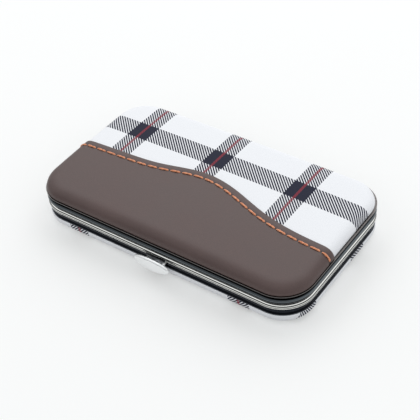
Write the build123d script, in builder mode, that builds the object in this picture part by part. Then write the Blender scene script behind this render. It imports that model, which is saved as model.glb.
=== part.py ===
from build123d import *
import os
from math import asin, cos, degrees, sin, sqrt

# Manicure set case: a slim clamshell on a snap frame, with its tools strapped inside.
# Millimetres. X runs along the front edge, Y runs back to the hinge and Z is up.
# The origin is on the floor, under the middle of the case.
# An inset is a distance inwards from the outline of the frames.

# Outline and heights
case_length = 110.0
case_width = 62.0
corner_radius = 12.0
seam_height = 9.2
lid_top = 17.9
lid_crown = 0.8
seam_gap = 0.3

# Rolled frames
base_frame_height = 5.0
lid_frame_height = 4.0
bead_radius = 1.1
flank_inset = 1.0
frame_wall = 0.8
base_lip_inset = 0.5
lid_lip_inset = 0.0
lip_height = 0.35

# Layers of the two halves
base_cover_inset = 0.3
base_roll = 3.6
fabric_thickness = 0.6
base_pad_thickness = 0.7
lid_cover_inset = 0.3
lid_roll = 4.1
leather_thickness = 0.9
leather_step = 0.4
lid_pad_thickness = 2.0
shell_fit = 0.1
shell_wall = 0.9
shell_roll = 2.2
shell_rim_drop = 0.8
lining_thickness = 0.5

# Leather edge across the lid: share of the length, then distance from the middle of the case
leather_edge = [
    (-0.52, -1.3),
    (-0.33, -0.6),
    (-0.18, 0.8),
    (-0.035, 4.1),
    (0.10, 2.1),
    (0.23, -2.7),
    (0.36, -5.3),
    (0.52, -5.9),
]
lap_allowance = 3.0

# Hinge
hinge_length = 60.0
hinge_offset = 0.7
barrel_count = 5
barrel_radius = 1.4
barrel_gap = 0.2
hinge_clearance = 0.3
pin_radius = 0.6
pin_running_clearance = 0.05
pin_head_radius = 1.0
pin_head_height = 0.4
leaf_thickness = 0.6
base_leaf_height = 4.2
lid_leaf_height = 3.3
leaf_edge_gap = 0.2
rivet_radius = 0.45
rivet_clearance = 0.03
rivet_head_radius = 0.8
rivet_head_height = 0.35
hinge_rivet_pitch = 16.0
hinge_rivet_count = 4

# Push button
button_length = 14.6
button_height = 5.2
button_centre = 6.4
button_thickness = 1.3
button_crown_radius = 60.0
button_bevel = 0.45
button_standoff = 2.3
button_travel = 1.5
stem_width = 7.6
stem_thickness = 0.9
stem_end_gap = 0.3
slot_clearance = 0.35

# Latch slider and its box
slider_underside = 6.6
slider_thickness = 1.0
slider_width = 16.0
slider_front_bar = 0.7
slider_back_bar = 1.8
slider_wall_gap = 0.2
slider_clearance = 0.15
tongue_width = 6.8
tongue_reach = 2.5
slider_rivet_spacing = 4.4
slider_rivet_radius = 0.5
hook_window_side_gap = 0.4
hook_window_front_gap = 2.0
hook_window_back_gap = 0.3
box_width = 21.0
box_back_wall = 1.0
box_corner_round = 1.2
box_floor = 2.4
latch_cover_thickness = 0.6
screw_spacing = 18.7
screw_radius = 0.7
screw_head_radius = 1.15
screw_head_height = 0.4
screw_length = 4.2
screw_slot_width = 0.3
spring_length = 4.4
spring_radius = 0.75
spring_wire_radius = 0.16
spring_wire_sides = 6
spring_turns = 5
spring_spacing = 11.2
spring_pocket_clearance = 0.35
spring_seat_depth = 0.8
spring_seat_drop = 0.8

# Catch hook
hook_width = 8.4
hook_thickness = 0.6
hook_foot_height = 1.15
hook_flange_height = 2.3
hook_nose_height = 1.1
hook_nose_gap = 0.1
hook_bite = 0.5
hook_rivet_spacing = 5.0

# Straps
strap_width = 12.0
strap_thickness = 0.6
strap_clearance = 0.15
strap_bend = 0.7
strap_foot = 3.2
strap_back_foot = 1.85
strap_slope = 2.0
strap_box_gap = 0.4
strap_to_pivot = 14.0
lid_strap_x = 0.0
strap_rivet_head_radius = 0.75
strap_rivet_head_height = 0.3
tool_gap = 0.1

# Scissors
ring_to_pivot = 40.0
blade_length = 38.0
scissors_thickness = 2.2
half_gap = 0.04
ring_end_gap = 3.6
ring_radius = 9.3
ring_bar = 2.3
ring_spread = 9.6
shank_width = 2.8
shank_drop = 5.0
neck_drop = 1.9
thinned_back = 9.6
boss_radius = 3.2
blade_root_width = 6.0
blade_tip_width = 1.0
scissors_screw_radius = 0.9
scissors_screw_head_radius = 1.7
scissors_screw_head_height = 0.45

# Nail clipper
clipper_length = 58.0
clipper_width = 11.0
ring_to_clipper = 9.0
leaf_sheet = 1.2
clipper_rise = 3.4
clipper_bow = 1.3
jaw_gap = 0.5
lower_bend_length = 7.0
upper_bend_length = 8.0
upper_tail_length = 9.0
clipper_pin_to_front = 8.0
clipper_pin_radius = 1.2
clipper_pin_head_radius = 2.2
clipper_pin_head_height = 0.7
lever_thickness = 1.3
lever_gap = 0.3
lever_back_width = 10.0
lever_front_width = 7.0
lever_bow = 0.85
lever_tail_drop = 1.6
lever_middle_drop = 0.6
lever_tail_length = 14.0
lever_flat_length = 6.0

# Tools in the lid
lid_tool_spacing = 1.0
pick_to_clipper = 3.6
tool_length = 88.0
tweezers_width = 7.5
tweezers_tip_width = 2.2
tweezers_tail_round = 3.0
tweezers_sheet = 1.1
tweezers_spread = 1.2
tweezers_joint_length = 8.0
tweezers_flare_length = 16.0
tweezers_tip_length = 20.0
tweezers_tip_gap = 0.5
file_width = 6.6
file_thickness = 0.9
file_edge_round = 0.4
file_handle_length = 28.0
file_handle_thickness = 2.2
pusher_radius = 1.5
pusher_spoon_length = 16.0
pusher_spoon_width = 5.0
pusher_spoon_thickness = 0.8
pick_radius = 0.9
pick_spoon_length = 5.0
pick_spoon_width = 2.4
pick_spoon_thickness = 0.6
spoon_tip_share = 0.62
rod_end_chamfer = 0.4

# Heights and insets that follow from the sizes above
base_rim = seam_height - base_frame_height
lid_rim = seam_height + lid_frame_height
wall_inset = flank_inset + frame_wall
shell_inset = wall_inset + shell_fit
shell_inner_inset = shell_inset + shell_wall
lining_inner_inset = shell_inner_inset + lining_thickness
shell_inner_roll = shell_roll - shell_wall
lining_roll = shell_inner_roll - lining_thickness
base_shell_floor = fabric_thickness + base_pad_thickness
base_lining_floor = base_shell_floor + shell_wall
base_floor = base_lining_floor + lining_thickness
lid_shell_top = lid_top - leather_thickness - lid_pad_thickness
lid_lining_top = lid_shell_top - shell_wall
lid_ceiling = lid_lining_top - lining_thickness
front = -case_width / 2
back = case_width / 2
wall_front = front + wall_inset
base_shell_rim = seam_height - shell_rim_drop
lid_shell_rim = seam_height + shell_rim_drop


def outline(inset):
    """Outline of the case, drawn in by an inset."""
    RectangleRounded(case_length - 2 * inset, case_width - 2 * inset, corner_radius - inset)


def flat_form(inset, rim, end, roll):
    """Solid from a rim to a flat end, whose edge is rolled to a radius."""
    with BuildPart() as form:
        with BuildSketch(Plane.XY.offset(rim)):
            outline(inset)
        extrude(amount=end - rim)
        end_face = form.faces().filter_by(Axis.Z).sort_by(lambda face: abs(face.center().Z - end))[0]
        fillet(end_face.edges(), roll)
    return form.part


def crowned_form(depth):
    """Solid of the padded lid above its rim, at a depth under its outer surface.

    The top is part of a torus: one arc across the case, swung about a far axis below it."""
    top = lid_top - depth
    across = (case_width / 2) ** 2 / (2 * lid_crown) - depth
    along = (case_length / 2) ** 2 / (2 * lid_crown) - depth
    swing = asin((case_length / 2 + corner_radius) / along)
    half = case_width / 2 + corner_radius
    foot = lid_rim - lid_roll
    low = along - (top - foot) - lid_roll
    shoulder = along - across + sqrt(across**2 - half**2)
    start = Plane(origin=(0, 0, top - along), x_dir=(0, 1, 0), z_dir=(cos(swing), 0, sin(swing)))
    with BuildPart() as crown:
        with BuildSketch(start):
            with BuildLine():
                ThreePointArc((-half, shoulder), (0, along), (half, shoulder))
                Polyline((half, shoulder), (half, low), (-half, low), (-half, shoulder))
            make_face()
        revolve(axis=Axis((0, 0, top - along), (0, 1, 0)), revolution_arc=degrees(2 * swing))
    with BuildPart() as form:
        with BuildSketch(Plane.XY.offset(foot)):
            outline(lid_cover_inset + depth)
        extrude(amount=top - foot + lid_crown)
        add(crown.part, mode=Mode.INTERSECT)
        top_face = form.faces().sort_by(Axis.Z)[-1]
        fillet(top_face.edges(), lid_roll - depth)
        split(bisect_by=Plane.XY.offset(lid_rim), keep=Keep.TOP)
    return form.part


def front_region(shift):
    """Everything in front of the leather's edge, moved back by a shift."""
    points = [(share * case_length, y + shift) for share, y in leather_edge]
    left, right = points[0], points[-1]
    with BuildPart() as region:
        with BuildSketch(Plane.XY.offset(seam_height)):
            with BuildLine():
                Spline(points)
                Polyline(right, (right[0], -case_width), (left[0], -case_width), left)
            make_face()
        extrude(amount=lid_top)
    return region.part


def block(x_range, y_range, z_range):
    """Plain block between two values on each axis, used to cut notches and slots."""
    with BuildPart() as cutter:
        with Locations((sum(x_range) / 2, sum(y_range) / 2, sum(z_range) / 2)):
            Box(x_range[1] - x_range[0], y_range[1] - y_range[0], z_range[1] - z_range[0])
    return cutter.part


def rolled_frame(upward, height, lip_inset):
    """Frame of one half: a round bead beside the seam, a recessed flank and a crimp lip."""
    with BuildSketch(Plane.XY.offset(seam_height)) as plan:
        outline(0)
    path = plan.sketch.faces()[0].outer_wire()
    section = Plane(origin=(0, front, seam_height), x_dir=(0, 1, 0), z_dir=(1, 0, 0))
    near = seam_gap / 2
    with BuildPart() as frame:
        with BuildSketch(section):
            with Locations((bead_radius, upward * (near + bead_radius))):
                Circle(bead_radius)
            with Locations((wall_inset - frame_wall / 2, upward * (near + height) / 2)):
                Rectangle(frame_wall, height - near)
            with Locations(((lip_inset + wall_inset) / 2, upward * (height - lip_height / 2))):
                Rectangle(wall_inset - lip_inset, lip_height)
            with Locations((wall_inset + bead_radius, upward * (near + bead_radius))):
                Rectangle(2 * bead_radius, 2 * bead_radius, mode=Mode.SUBTRACT)
        sweep(path=path)
    return frame.part


def hinge_land(upward):
    """Flat on the back of a frame, where the hinge leaf lies and the barrels turn."""
    reach = hinge_length / 2 + pin_head_height + hinge_clearance
    height = 2 * bead_radius + seam_gap
    near, far = sorted((seam_height, seam_height + upward * height))
    return block((-reach, reach), (back - flank_inset, back + bead_radius), (near, far))


hinge_rivet_x = [(i - (hinge_rivet_count - 1) / 2) * hinge_rivet_pitch for i in range(hinge_rivet_count)]
hinge_y = back + hinge_offset
leaf_y = back - flank_inset
base_rivet_z = seam_height - leaf_edge_gap - base_leaf_height + rivet_head_radius + leaf_edge_gap
lid_rivet_z = seam_height + leaf_edge_gap + lid_leaf_height - rivet_head_radius - leaf_edge_gap


def rivets_along_back(height, radius, start, length):
    """Row of round posts through the back wall, pointing backwards."""
    with BuildPart() as posts:
        with BuildSketch(Plane.XZ.offset(-start)):
            with Locations([(x, height) for x in hinge_rivet_x]):
                Circle(radius)
        extrude(amount=-length)
    return posts.part


# Latch places, from the front wall inwards
slider_front = wall_front + slider_wall_gap
slider_top = slider_underside + slider_thickness
window_front = slider_front + slider_front_bar
hook_front = window_front + hook_window_front_gap
hook_back = hook_front + hook_thickness
window_back = hook_back + hook_window_back_gap
slider_back = window_back + slider_back_bar
hook_window_width = hook_width + 2 * hook_window_side_gap
nose_tip = window_back + hook_bite
nose_top = slider_underside - hook_nose_gap
nose_bottom = nose_top - hook_nose_height
box_back = slider_back + spring_length + box_back_wall
box_top = slider_top + slider_clearance
spring_axis = slider_top - spring_radius - spring_wire_radius
stem_bottom = slider_underside - stem_thickness
button_back = front - button_standoff
button_slot = (
    (-stem_width / 2 - slot_clearance, stem_width / 2 + slot_clearance),
    (front - bead_radius, wall_front + frame_wall),
    (stem_bottom - slot_clearance, slider_top + slot_clearance),
)
box_notch = (
    (-box_width / 2 - shell_fit, box_width / 2 + shell_fit),
    (wall_front, box_back),
    (base_floor, seam_height),
)
hook_notch = (
    (-hook_width / 2 - hook_window_side_gap, hook_width / 2 + hook_window_side_gap),
    (wall_front, hook_back + hook_window_back_gap),
    (seam_height, seam_height + hook_foot_height + hook_flange_height + hook_window_back_gap),
)

# Places of the tools, from the left end, the back wall and the latch box inwards
strap_reach = strap_thickness / 2 + strap_clearance
clipper_side = clipper_width / 2 + strap_reach
strap_back_end = back - lining_inner_inset - lining_roll - tool_gap
ring_x = lining_inner_inset + lining_roll + ring_end_gap + ring_radius - case_length / 2
scissors_pivot_x = ring_x + ring_to_pivot
scissors_y = box_back + strap_box_gap + strap_foot + ring_spread
base_strap_x = scissors_pivot_x - strap_to_pivot
clipper_back_x = ring_x + ring_to_clipper
clipper_front_x = clipper_back_x + clipper_length
clipper_pin_x = clipper_front_x - clipper_pin_to_front
clipper_y = strap_back_end - strap_back_foot - clipper_side
pick_y = clipper_y - clipper_width / 2 - pick_to_clipper
pusher_y = pick_y - (pick_spoon_width + pusher_spoon_width) / 2 - lid_tool_spacing
file_y = pusher_y - (pusher_spoon_width + file_width) / 2 - lid_tool_spacing
tweezers_y = file_y - (file_width + tweezers_width) / 2 - lid_tool_spacing

# Lower half: fabric skin, pad, shell and lining
base_outer = flat_form(base_cover_inset, base_rim, 0, base_roll)
base_pad_outer = flat_form(
    base_cover_inset + fabric_thickness, base_rim, fabric_thickness, base_roll - fabric_thickness
)
base_shell_outer = flat_form(shell_inset, base_shell_rim, base_shell_floor, shell_roll)
base_shell_inner = flat_form(shell_inner_inset, seam_height, base_lining_floor, shell_inner_roll)
base_lining_inner = flat_form(lining_inner_inset, seam_height, base_floor, lining_roll)
box_gap = block(*box_notch)

with BuildPart() as base_cover:
    add(base_outer)
    add(base_pad_outer, mode=Mode.SUBTRACT)
base_cover.part.label = "base_cover"

with BuildPart() as base_foam:
    add(base_pad_outer)
    add(base_shell_outer, mode=Mode.SUBTRACT)
    add(box_gap, mode=Mode.SUBTRACT)
base_foam.part.label = "base_foam"

with BuildPart() as base_shell:
    add(base_shell_outer)
    add(base_shell_inner, mode=Mode.SUBTRACT)
    add(box_gap, mode=Mode.SUBTRACT)
base_shell.part.label = "base_shell"

with BuildPart() as base_lining:
    add(base_shell_inner)
    add(base_lining_inner, mode=Mode.SUBTRACT)
    split(bisect_by=Plane.XY.offset(base_shell_rim), keep=Keep.BOTTOM)
    add(box_gap, mode=Mode.SUBTRACT)
base_lining.part.label = "base_lining"

base_ring = rolled_frame(-1, base_frame_height, base_lip_inset)
base_land = hinge_land(-1)
base_rivet_holes = rivets_along_back(
    base_rivet_z, rivet_radius + rivet_clearance, back - wall_inset - frame_wall, case_width
)
button_opening = block(*button_slot)
with BuildPart() as base_frame:
    add(base_ring)
    add(base_land, mode=Mode.SUBTRACT)
    add(base_rivet_holes, mode=Mode.SUBTRACT)
    add(button_opening, mode=Mode.SUBTRACT)
base_frame.part.label = "base_frame"

# Upper half: plaid behind, leather in front lapped over it, pad, shell and lining
lid_outer = crowned_form(0)
lid_plaid_outer = crowned_form(leather_step)
lid_pad_outer = crowned_form(leather_thickness)
lid_shell_outer = flat_form(shell_inset, lid_shell_rim, lid_shell_top, shell_roll)
lid_shell_inner = flat_form(shell_inner_inset, seam_height, lid_lining_top, shell_inner_roll)
lid_lining_inner = flat_form(lining_inner_inset, seam_height, lid_ceiling, lining_roll)
leather_ground = front_region(0)
plaid_hidden = front_region(-lap_allowance)
hook_gap = block(*hook_notch)

with BuildPart() as lid_cover:
    add(lid_plaid_outer)
    add(lid_pad_outer, mode=Mode.SUBTRACT)
    add(plaid_hidden, mode=Mode.SUBTRACT)
lid_cover.part.label = "lid_cover"

with BuildPart() as leather_panel:
    add(lid_outer)
    add(leather_ground, mode=Mode.INTERSECT)
    add(lid_pad_outer, mode=Mode.SUBTRACT)
    add(lid_cover.part, mode=Mode.SUBTRACT)
leather_panel.part.label = "leather_panel"

with BuildPart() as lid_foam:
    add(lid_pad_outer)
    add(lid_shell_outer, mode=Mode.SUBTRACT)
lid_foam.part.label = "lid_foam"

with BuildPart() as lid_shell:
    add(lid_shell_outer)
    add(lid_shell_inner, mode=Mode.SUBTRACT)
    add(hook_gap, mode=Mode.SUBTRACT)
lid_shell.part.label = "lid_shell"

with BuildPart() as lid_lining:
    add(lid_shell_inner)
    add(lid_lining_inner, mode=Mode.SUBTRACT)
    split(bisect_by=Plane.XY.offset(lid_shell_rim), keep=Keep.TOP)
    add(hook_gap, mode=Mode.SUBTRACT)
lid_lining.part.label = "lid_lining"

lid_ring = rolled_frame(1, lid_frame_height, lid_lip_inset)
lid_land = hinge_land(1)
lid_rivet_holes = rivets_along_back(
    lid_rivet_z, rivet_radius + rivet_clearance, back - wall_inset - frame_wall, case_width
)
with BuildPart() as lid_frame:
    add(lid_ring)
    add(lid_land, mode=Mode.SUBTRACT)
    add(lid_rivet_holes, mode=Mode.SUBTRACT)
lid_frame.part.label = "lid_frame"

# Hinge: two leaves whose barrels take turns along one pin
barrel_pitch = hinge_length / barrel_count
barrel_reach = barrel_radius + hinge_clearance


def barrel_span(index):
    """Ends of a barrel along the hinge, with half a gap taken off beside a neighbour."""
    left = -hinge_length / 2 + index * barrel_pitch
    right = left + barrel_pitch
    trim_left = barrel_gap / 2 if index > 0 else 0
    trim_right = barrel_gap / 2 if index < barrel_count - 1 else 0
    return left + trim_left, right - trim_right


def hinge_leaf(first, upward, height, rivet_z):
    """Flat leaf against the frame's flank, rolled into every second barrel, first one onwards."""
    half = hinge_length / 2
    ends = sorted((seam_height + upward * leaf_edge_gap, seam_height + upward * (leaf_edge_gap + height)))
    own = [barrel_span(i) for i in range(first, barrel_count, 2)]
    other = [barrel_span(i) for i in range(1 - first, barrel_count, 2)]
    plate = block((-half, half), (leaf_y, leaf_y + leaf_thickness), ends)
    holes = rivets_along_back(rivet_z, rivet_radius + rivet_clearance, leaf_y - frame_wall, case_width)
    roots = []
    gaps = []
    for left, right in own:
        span = sorted((seam_height, seam_height + upward * barrel_reach))
        roots.append(block((left, right), (leaf_y, leaf_y + leaf_thickness), span))
    for left, right in other:
        span = sorted((seam_height - upward * barrel_reach, seam_height + upward * barrel_reach))
        edges = (left - barrel_gap, right + barrel_gap)
        gaps.append(block(edges, (leaf_y - leaf_thickness, back + barrel_radius), span))
    with BuildPart() as leaf:
        add(plate)
        for gap in gaps:
            add(gap, mode=Mode.SUBTRACT)
        for root in roots:
            add(root)
        for left, right in own:
            with BuildSketch(Plane.YZ.offset(left)):
                with Locations((hinge_y, seam_height)):
                    Circle(barrel_radius)
            extrude(amount=right - left)
        add(holes, mode=Mode.SUBTRACT)
        with BuildSketch(Plane.YZ.offset(-half)):
            with Locations((hinge_y, seam_height)):
                Circle(pin_radius + pin_running_clearance)
        extrude(amount=hinge_length, mode=Mode.SUBTRACT)
    return leaf.part


with BuildPart() as hinge_leaf_base:
    add(hinge_leaf(0, -1, base_leaf_height, base_rivet_z))
hinge_leaf_base.part.label = "hinge_leaf_base"

with BuildPart() as hinge_leaf_lid:
    add(hinge_leaf(1, 1, lid_leaf_height, lid_rivet_z))
hinge_leaf_lid.part.label = "hinge_leaf_lid"

with BuildPart() as hinge_pin:
    with BuildSketch(Plane.YZ.offset(-hinge_length / 2)):
        with Locations((hinge_y, seam_height)):
            Circle(pin_radius)
    extrude(amount=hinge_length)
    for side in (-1, 1):
        with BuildSketch(Plane.YZ.offset(side * hinge_length / 2)):
            with Locations((hinge_y, seam_height)):
                Circle(pin_head_radius)
        extrude(amount=side * pin_head_height)
    pin_ends = hinge_pin.edges().group_by(Axis.X)
    chamfer(pin_ends[0] + pin_ends[-1], pin_head_height / 2)
hinge_pin.part.label = "hinge_pin"


def hinge_rivets(height):
    """Rivets with a bevelled head on the leaf and a shank through the frame's wall."""
    shanks = rivets_along_back(height, rivet_radius, back - wall_inset, frame_wall + leaf_thickness)
    with BuildPart() as group:
        add(shanks)
        with BuildSketch(Plane.XZ.offset(-leaf_y - leaf_thickness)):
            with Locations([(x, height) for x in hinge_rivet_x]):
                Circle(rivet_head_radius)
        extrude(amount=-rivet_head_height)
        chamfer(group.edges().group_by(Axis.Y)[-1], rivet_head_height / 2)
    return group.part


with BuildPart() as hinge_rivets_base:
    add(hinge_rivets(base_rivet_z))
hinge_rivets_base.part.label = "hinge_rivets_base"

with BuildPart() as hinge_rivets_lid:
    add(hinge_rivets(lid_rivet_z))
hinge_rivets_lid.part.label = "hinge_rivets_lid"

# Push button, slider and springs
slider_rivet_y = slider_front - tongue_reach / 2
slider_rivet_places = [(side * slider_rivet_spacing / 2, slider_rivet_y) for side in (-1, 1)]

with BuildPart() as push_button:
    with BuildSketch(Plane.XZ.offset(-button_back)):
        with Locations((0, button_centre)):
            Ellipse(button_length / 2, button_height / 2)
    extrude(amount=button_thickness)
    with Locations((0, button_back - button_thickness + button_crown_radius, button_centre)):
        Sphere(button_crown_radius, mode=Mode.INTERSECT)
    chamfer(push_button.edges().sort_by(Axis.Y)[0], button_bevel)
    with BuildSketch(Plane.XY.offset(stem_bottom)):
        with Locations((0, (button_back + slider_front - stem_end_gap) / 2)):
            Rectangle(stem_width, slider_front - stem_end_gap - button_back)
    extrude(amount=stem_thickness)
    with BuildSketch(Plane.XY.offset(stem_bottom)):
        with Locations(slider_rivet_places):
            Circle(slider_rivet_radius + rivet_clearance)
    extrude(amount=stem_thickness, mode=Mode.SUBTRACT)
push_button.part.label = "push_button"

seat_width = 2 * (spring_radius + spring_wire_radius)
spring_x = [-spring_spacing / 2, spring_spacing / 2]
with BuildPart() as latch_slider:
    with BuildSketch(Plane.XY.offset(slider_underside)):
        with Locations((0, (slider_front + slider_back) / 2)):
            Rectangle(slider_width, slider_back - slider_front)
        with Locations((0, slider_front - tongue_reach / 2)):
            Rectangle(tongue_width, tongue_reach)
        with Locations((0, (window_front + window_back) / 2)):
            Rectangle(hook_window_width, window_back - window_front, mode=Mode.SUBTRACT)
        with Locations(slider_rivet_places):
            Circle(slider_rivet_radius + rivet_clearance, mode=Mode.SUBTRACT)
    extrude(amount=slider_thickness)
    with BuildSketch(Plane.XY.offset(slider_underside)):
        with Locations([(x, slider_back - spring_seat_depth / 2) for x in spring_x]):
            Rectangle(seat_width, spring_seat_depth)
    extrude(amount=-spring_seat_drop)
latch_slider.part.label = "latch_slider"

with BuildPart() as slider_rivets:
    with BuildSketch(Plane.XY.offset(stem_bottom)):
        with Locations(slider_rivet_places):
            Circle(slider_rivet_radius)
    extrude(amount=slider_top - stem_bottom)
slider_rivets.part.label = "slider_rivets"

with BuildPart() as latch_springs:
    for x in spring_x:
        with BuildLine():
            coil = Helix(
                pitch=(spring_length - 2 * spring_wire_radius) / spring_turns,
                height=spring_length - 2 * spring_wire_radius,
                radius=spring_radius,
                center=(x, slider_back + spring_wire_radius, spring_axis),
                direction=(0, 1, 0),
            )
        with BuildSketch(Plane(origin=coil @ 0, z_dir=coil % 0)):
            RegularPolygon(spring_wire_radius, spring_wire_sides)
        sweep(path=coil, is_frenet=True)
latch_springs.part.label = "latch_springs"

# Latch box with its slide channel, hook well and spring pockets
screw_y = (window_front + slider_back) / 2
screw_places = [(-screw_spacing / 2, screw_y), (screw_spacing / 2, screw_y)]
channel_end = slider_back + button_travel + slider_clearance
pocket_half = seat_width / 2 + spring_pocket_clearance

with BuildPart() as latch_box:
    with BuildSketch(Plane.XY.offset(base_floor)):
        with Locations((0, (wall_front + shell_fit + box_back) / 2)):
            Rectangle(box_width, box_back - wall_front - shell_fit)
    extrude(amount=box_top - base_floor)
    fillet(latch_box.edges().filter_by(Axis.Z).group_by(Axis.Y)[-1], box_corner_round)
    with BuildSketch(Plane.XY.offset(box_top)):
        with Locations((0, (wall_front + channel_end) / 2)):
            Rectangle(slider_width + 2 * slider_clearance, channel_end - wall_front)
    extrude(amount=-(box_top - slider_underside + slider_clearance), mode=Mode.SUBTRACT)
    with BuildSketch(Plane.XY.offset(box_top)):
        with Locations((0, (wall_front + nose_tip + hook_window_side_gap) / 2)):
            Rectangle(hook_window_width, nose_tip + hook_window_side_gap - wall_front)
    extrude(amount=-(box_top - base_floor - box_floor), mode=Mode.SUBTRACT)
    with BuildSketch(Plane.XY.offset(box_top)):
        pocket_start = slider_back - spring_seat_depth - slider_clearance
        pocket_end = slider_back + spring_length
        with Locations([(x, (pocket_start + pocket_end) / 2) for x in spring_x]):
            Rectangle(2 * pocket_half, pocket_end - pocket_start)
    extrude(amount=-(box_top - slider_underside + spring_seat_drop + slider_clearance), mode=Mode.SUBTRACT)
    with BuildSketch(Plane.XY.offset(box_top)):
        with Locations(screw_places):
            Circle(screw_radius + rivet_clearance)
    extrude(amount=-screw_length, mode=Mode.SUBTRACT)
latch_box.part.label = "latch_box"

with BuildPart() as latch_cover:
    with BuildSketch(Plane.XY.offset(box_top)):
        with Locations((0, (wall_front + shell_fit + box_back) / 2)):
            Rectangle(box_width, box_back - wall_front - shell_fit)
        with Locations((0, (window_front + nose_tip + hook_window_back_gap) / 2)):
            Rectangle(
                hook_window_width, nose_tip + hook_window_back_gap - window_front, mode=Mode.SUBTRACT
            )
        with Locations(screw_places):
            Circle(screw_radius + rivet_clearance, mode=Mode.SUBTRACT)
    extrude(amount=latch_cover_thickness)
    fillet(latch_cover.edges().filter_by(Axis.Z).group_by(Axis.Y)[-1], box_corner_round)
latch_cover.part.label = "latch_cover"

screw_head_z = box_top + latch_cover_thickness
with BuildPart() as latch_screws:
    with BuildSketch(Plane.XY.offset(screw_head_z)):
        with Locations(screw_places):
            Circle(screw_head_radius)
    extrude(amount=screw_head_height)
    chamfer(latch_screws.edges().group_by(Axis.Z)[-1], screw_head_height / 2)
    with BuildSketch(Plane.XY.offset(screw_head_z)):
        with Locations(screw_places):
            Circle(screw_radius)
    extrude(amount=-(screw_length + latch_cover_thickness - rivet_clearance))
    with BuildSketch(Plane.XY.offset(screw_head_z + screw_head_height)):
        with Locations(screw_places):
            Rectangle(2 * screw_head_radius, screw_slot_width)
    extrude(amount=-screw_head_height / 2, mode=Mode.SUBTRACT)
latch_screws.part.label = "latch_screws"

# Catch hook: one bent strip, riveted inside the lid's front wall, that hangs through the slider
foot_bottom = seam_height + hook_foot_height
hook_rivet_z = foot_bottom + hook_thickness + (hook_flange_height - hook_thickness) / 2
hook_rivet_x = [-hook_rivet_spacing / 2, hook_rivet_spacing / 2]
with BuildPart() as catch_hook:
    with BuildSketch(Plane.YZ.offset(-hook_width / 2)):
        with BuildLine():
            Polyline(
                (wall_front, foot_bottom),
                (wall_front, foot_bottom + hook_flange_height),
                (wall_front + hook_thickness, foot_bottom + hook_flange_height),
                (wall_front + hook_thickness, foot_bottom + hook_thickness),
                (hook_back, foot_bottom + hook_thickness),
                (hook_back, nose_top),
                (nose_tip, nose_top),
                (nose_tip, nose_top - hook_nose_height / 3),
                (hook_front + hook_thickness / 2, nose_bottom),
                (hook_front, nose_bottom),
                (hook_front, foot_bottom),
                close=True,
            )
        make_face()
    extrude(amount=hook_width)
    with BuildSketch(Plane.XZ.offset(-wall_front)):
        with Locations([(x, hook_rivet_z) for x in hook_rivet_x]):
            Circle(rivet_radius + rivet_clearance)
    extrude(amount=-hook_thickness, mode=Mode.SUBTRACT)
catch_hook.part.label = "catch_hook"

with BuildPart() as hook_rivets:
    with BuildSketch(Plane.XZ.offset(-wall_front)):
        with Locations([(x, hook_rivet_z) for x in hook_rivet_x]):
            Circle(rivet_radius)
    extrude(amount=-hook_thickness)
    with BuildSketch(Plane.XZ.offset(-wall_front - hook_thickness)):
        with Locations([(x, hook_rivet_z) for x in hook_rivet_x]):
            Circle(rivet_head_radius)
    extrude(amount=-rivet_head_height)
    chamfer(hook_rivets.edges().group_by(Axis.Y)[-1], rivet_head_height / 2)
hook_rivets.part.label = "hook_rivets"

# Scissors: each half is a ring, a shank, a boss and a blade, thinned to half where they cross
scissors_z = base_floor + tool_gap


def scissors_half(side):
    """Half of the scissors with its ring on one side and its blade crossing the pivot."""
    pivot = (scissors_pivot_x, scissors_y)
    ring = (ring_x, scissors_y + side * ring_spread)
    tip_x = scissors_pivot_x + blade_length
    ring_inner = ring_radius - ring_bar
    neck = (ring_x + ring_radius - ring_bar / 2, ring[1] - side * neck_drop)
    split_z = scissors_z + scissors_thickness / 2 - side * half_gap / 2
    thin_start = scissors_pivot_x - thinned_back
    keep_low = side > 0
    waste = (
        (thin_start, tip_x + boss_radius),
        (scissors_y - ring_radius, scissors_y + ring_radius),
        (split_z, split_z + scissors_thickness) if keep_low else (split_z - scissors_thickness, split_z),
    )
    thinned = block(*waste)
    with BuildPart() as half:
        with BuildSketch(Plane.XY.offset(scissors_z)):
            with Locations(ring):
                Circle(ring_radius)
            with BuildLine():
                Bezier(neck, (ring_x + 2 * ring_radius, ring[1] - side * shank_drop), pivot)
            trace(line_width=shank_width)
            with Locations(pivot):
                Circle(boss_radius)
            with BuildLine():
                Polyline(
                    (pivot[0], pivot[1] - blade_root_width / 2),
                    (pivot[0], pivot[1] + blade_root_width / 2),
                    (tip_x, pivot[1] + blade_tip_width / 2),
                    (tip_x, pivot[1] - blade_tip_width / 2),
                    close=True,
                )
            make_face()
            with Locations(ring):
                Circle(ring_inner, mode=Mode.SUBTRACT)
            with Locations(pivot):
                Circle(scissors_screw_radius + rivet_clearance, mode=Mode.SUBTRACT)
        extrude(amount=scissors_thickness)
        add(thinned, mode=Mode.SUBTRACT)
    return half.part


with BuildPart() as scissors_blade_lower:
    add(scissors_half(1))
scissors_blade_lower.part.label = "scissors_blade_lower"

with BuildPart() as scissors_blade_upper:
    add(scissors_half(-1))
scissors_blade_upper.part.label = "scissors_blade_upper"

with BuildPart() as scissors_screw:
    with BuildSketch(Plane.XY.offset(scissors_z)):
        with Locations((scissors_pivot_x, scissors_y)):
            Circle(scissors_screw_radius)
    extrude(amount=scissors_thickness)
    with BuildSketch(Plane.XY.offset(scissors_z + scissors_thickness)):
        with Locations((scissors_pivot_x, scissors_y)):
            Circle(scissors_screw_head_radius)
    extrude(amount=scissors_screw_head_height)
    chamfer(scissors_screw.edges().group_by(Axis.Z)[-1], scissors_screw_head_height / 2)
    with BuildSketch(Plane.XY.offset(scissors_z + scissors_thickness + scissors_screw_head_height)):
        with Locations((scissors_pivot_x, scissors_y)):
            Rectangle(screw_slot_width, 2 * scissors_screw_head_radius)
    extrude(amount=-scissors_screw_head_height / 2, mode=Mode.SUBTRACT)
scissors_screw.part.label = "scissors_screw"

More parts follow.
